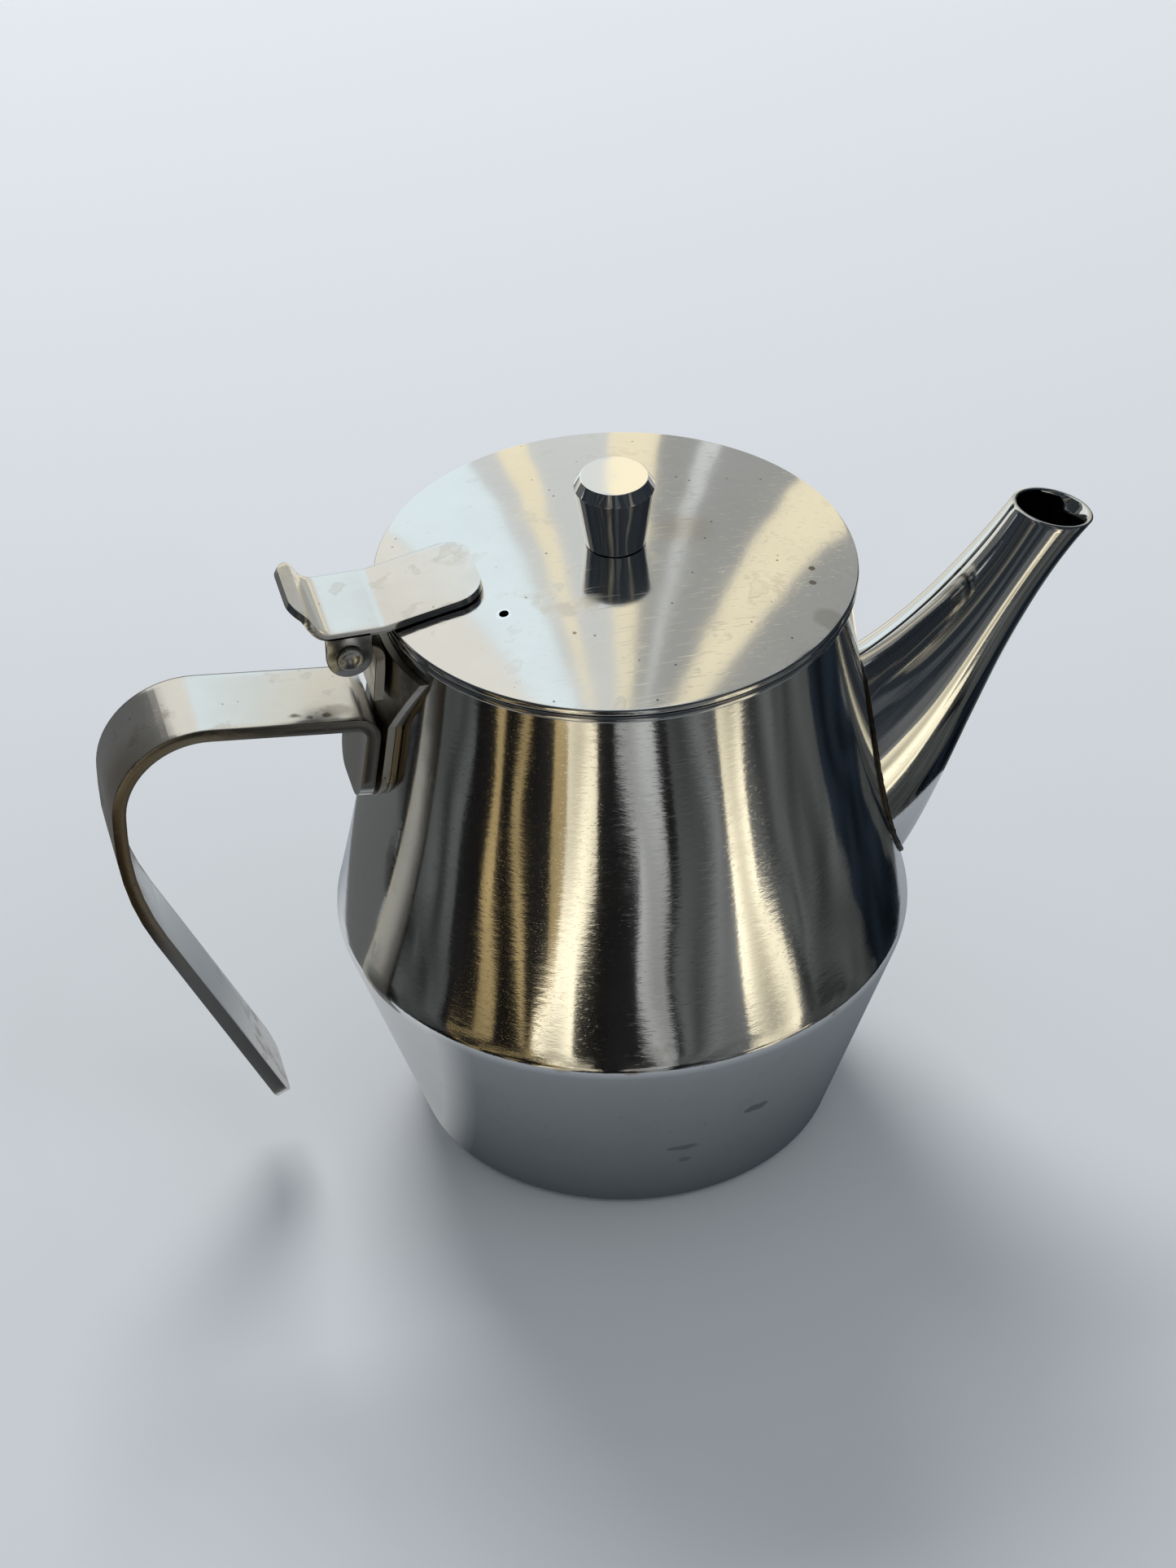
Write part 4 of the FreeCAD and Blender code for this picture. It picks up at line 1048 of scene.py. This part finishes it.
# the shaded floor close to the pot, which the lower cone mirrors
shadow = dict(
    base=0.0375, lift=0.0002, rows=16, columns=96, bend=0.75, shade=(0.022, 0.031, 0.038),
    pale=(0.40, 0.44, 0.48), sunny=165.0, sunnyHalf=40, sunnySoft=14, sunnyGlow=0.30)


def clamp(value):
    return max(0.0, min(1.0, value))


def unevenness(grain, azimuth, level):
    return noise.noise((azimuth * grain[0], level * grain[1], grain[2]))


def ringPoint(reach, azimuth, z):
    turn = math.radians(azimuth)
    return (reach * math.cos(turn), reach * math.sin(turn), z)


def gridFaces(first, rows, columns):
    corners = [first + row * (columns + 1) + column
               for row in range(rows) for column in range(columns)]
    return [(a, a + 1, a + columns + 2, a + columns + 1) for a in corners]


def addBoard(start, end, colour, verts, faces, tints):
    flatRun = boards["radius"] - boards["near"]
    levels = spread(0.0, flatRun, boards["flatRows"])
    levels += [flatRun + boards["high"] * (i / boards["wallRows"]) ** boards["wallBend"]
               for i in range(1, boards["wallRows"] + 1)]
    front = boards["front"][0] <= start < boards["front"][1]
    glow = boards["leftGlow"] if start < boards["leftEnd"] else boards["noGlow"]
    sway = boards["sway"] / boards["calm"]
    if front:
        glow, sway = boards["frontGlow"], boards["sway"]
    columns = max(boards["fewest"], int((end - start) * boards["density"]))
    faces += gridFaces(len(verts), len(levels) - 1, columns)
    for level in levels:
        reach = boards["near"] + min(level, flatRun)
        z = boards["lift"] + max(0.0, level - flatRun)
        raised = clamp((z - boards["dimAbove"]) / boards["dimOver"])
        for azimuth in spread(start, end, columns):
            wave = unevenness(boards["wave"], azimuth, level)
            ripple = unevenness(boards["ripple"], azimuth, level)
            swayed = azimuth + sway * wave + boards["rippleShare"] * sway * ripple
            verts.append(ringPoint(reach, swayed, z))
            share = 1.0
            if front:
                share += boards["patchy"] * unevenness(boards["patch"], azimuth, level)
                share *= boards["foot"] + boards["gain"] * min(1.0, level / flatRun)
                share *= 1.0 - boards["dim"] * raised
            tints.append([max(0.0, value * share) + raised * more
                          for value, more in zip(colour, glow)])


def addShadow(verts, faces, tints):
    faces += gridFaces(len(verts), shadow["rows"], shadow["columns"])
    for row in range(shadow["rows"] + 1):
        share = row / shadow["rows"]
        reach = shadow["base"] + (boards["near"] - shadow["base"]) * share
        paleShare = share ** shadow["bend"]
        for azimuth in spread(0.0, 360.0, shadow["columns"]):
            verts.append(ringPoint(reach, azimuth, shadow["lift"]))
            away = abs((azimuth - shadow["sunny"] + 180) % 360 - 180)
            glow = shadow["sunnyGlow"] * clamp((shadow["sunnyHalf"] - away) / shadow["sunnySoft"])
            tints.append([shade + (pale - shade) * paleShare + glow
                          for shade, pale in zip(shadow["shade"], shadow["pale"])])


def makeBoards():
    verts, faces, tints = [], [], []
    for (start, tone), following in zip(boards["strips"], boards["strips"][1:]):
        addBoard(start, following[0], boards["tones"][tone], verts, faces, tints)
    addShadow(verts, faces, tints)
    material, tree = newMaterial("boardFace")
    tint = shaderNode(tree, "Attribute", attribute_name="tint")
    glow = shaderNode(tree, "Emission", {"Color": tint.outputs["Color"]})
    shaderNode(tree, "OutputMaterial", {"Surface": glow})
    piece = meshObject("boards", verts, [], faces, material)
    layer = piece.data.attributes.new("tint", "FLOAT_COLOR", "POINT")
    for item, colour in zip(layer.data, tints):
        item.color = (*colour, 1)
    for ray in ("camera", "diffuse", "shadow", "transmission"):
        setattr(piece, "visible_" + ray, False)


makeBoards()

lamps = dict(
    window=dict(place=(-0.05, 1.35, 1.3), size=0.8, power=23.0, colour=(1.0, 0.98, 0.95)),
    fill=dict(place=(0.9, -1.0, 1.4), size=1.4, power=3.0, colour=(0.93, 0.96, 1.0)),
)
lampAim = Vector((0, 0, 0.06))
for name, lamp in lamps.items():
    data = bpy.data.lights.new(name, "AREA")
    data.shape = "SQUARE"
    data.size = lamp["size"]
    data.energy = lamp["power"]
    data.color = lamp["colour"]
    holder = addObject(name, data)
    holder.location = lamp["place"]
    holder.rotation_euler = (lampAim - Vector(lamp["place"])).to_track_quat("-Z", "Y").to_euler()
    holder.visible_glossy = False  # the steel mirrors the boards instead

sky = dict(colour=(0.80, 0.845, 0.88), strength=0.42, seen=(0.78, 0.82, 0.85))
world = bpy.data.worlds.new("studio")
scene.world = world
world.use_nodes = True
tree = world.node_tree
tree.nodes.clear()
lit = shaderNode(tree, "Background", {"Color": (*sky["colour"], 1), "Strength": sky["strength"]})
shown = shaderNode(tree, "Background", {"Color": (*sky["seen"], 1)})
rays = shaderNode(tree, "LightPath").outputs
mirrored = mathNode("MAXIMUM", rays["Is Glossy Ray"], rays["Is Transmission Ray"])
seen = mathNode("MAXIMUM", rays["Is Camera Ray"], mirrored)
both = shaderNode(tree, "MixShader", {0: seen, 1: lit, 2: shown})
shaderNode(tree, "OutputWorld", {"Surface": both})
print("set made")

# camera at the photograph's angle, for a 1445 x 1927 frame; focal and height are in pixels

view = dict(
    focal=6674.0, height=1927.0, sensor=36.0, distance=1036.787, nearest=0.01, elevation=37.338,
    roll=-1.355, azimuth=-13.0, sideways=-6.12, target=71.207)
turn, rise, roll = (math.radians(view[key]) for key in ("azimuth", "elevation", "roll"))
back = Vector((math.sin(turn) * math.cos(rise), -math.cos(turn) * math.cos(rise), math.sin(rise)))
right = Vector((math.cos(turn), math.sin(turn), 0))
up = back.cross(right)
rightTilted = right * math.cos(roll) + up * math.sin(roll)
upTilted = up * math.cos(roll) - right * math.sin(roll)
target = right * view["sideways"] + Vector((0, 0, view["target"]))
place = (target + back * view["distance"]) * mm
cameraData = bpy.data.cameras.new("camera")
cameraData.sensor_fit = "AUTO"
cameraData.sensor_width = view["sensor"]
cameraData.lens = view["focal"] * view["sensor"] / view["height"]
cameraData.clip_start = view["nearest"]
camera = addObject("camera", cameraData)
facing = Matrix((rightTilted, upTilted, back)).transposed().to_4x4()
camera.matrix_world = Matrix.Translation(place) @ facing
scene.camera = camera

print("scene done")
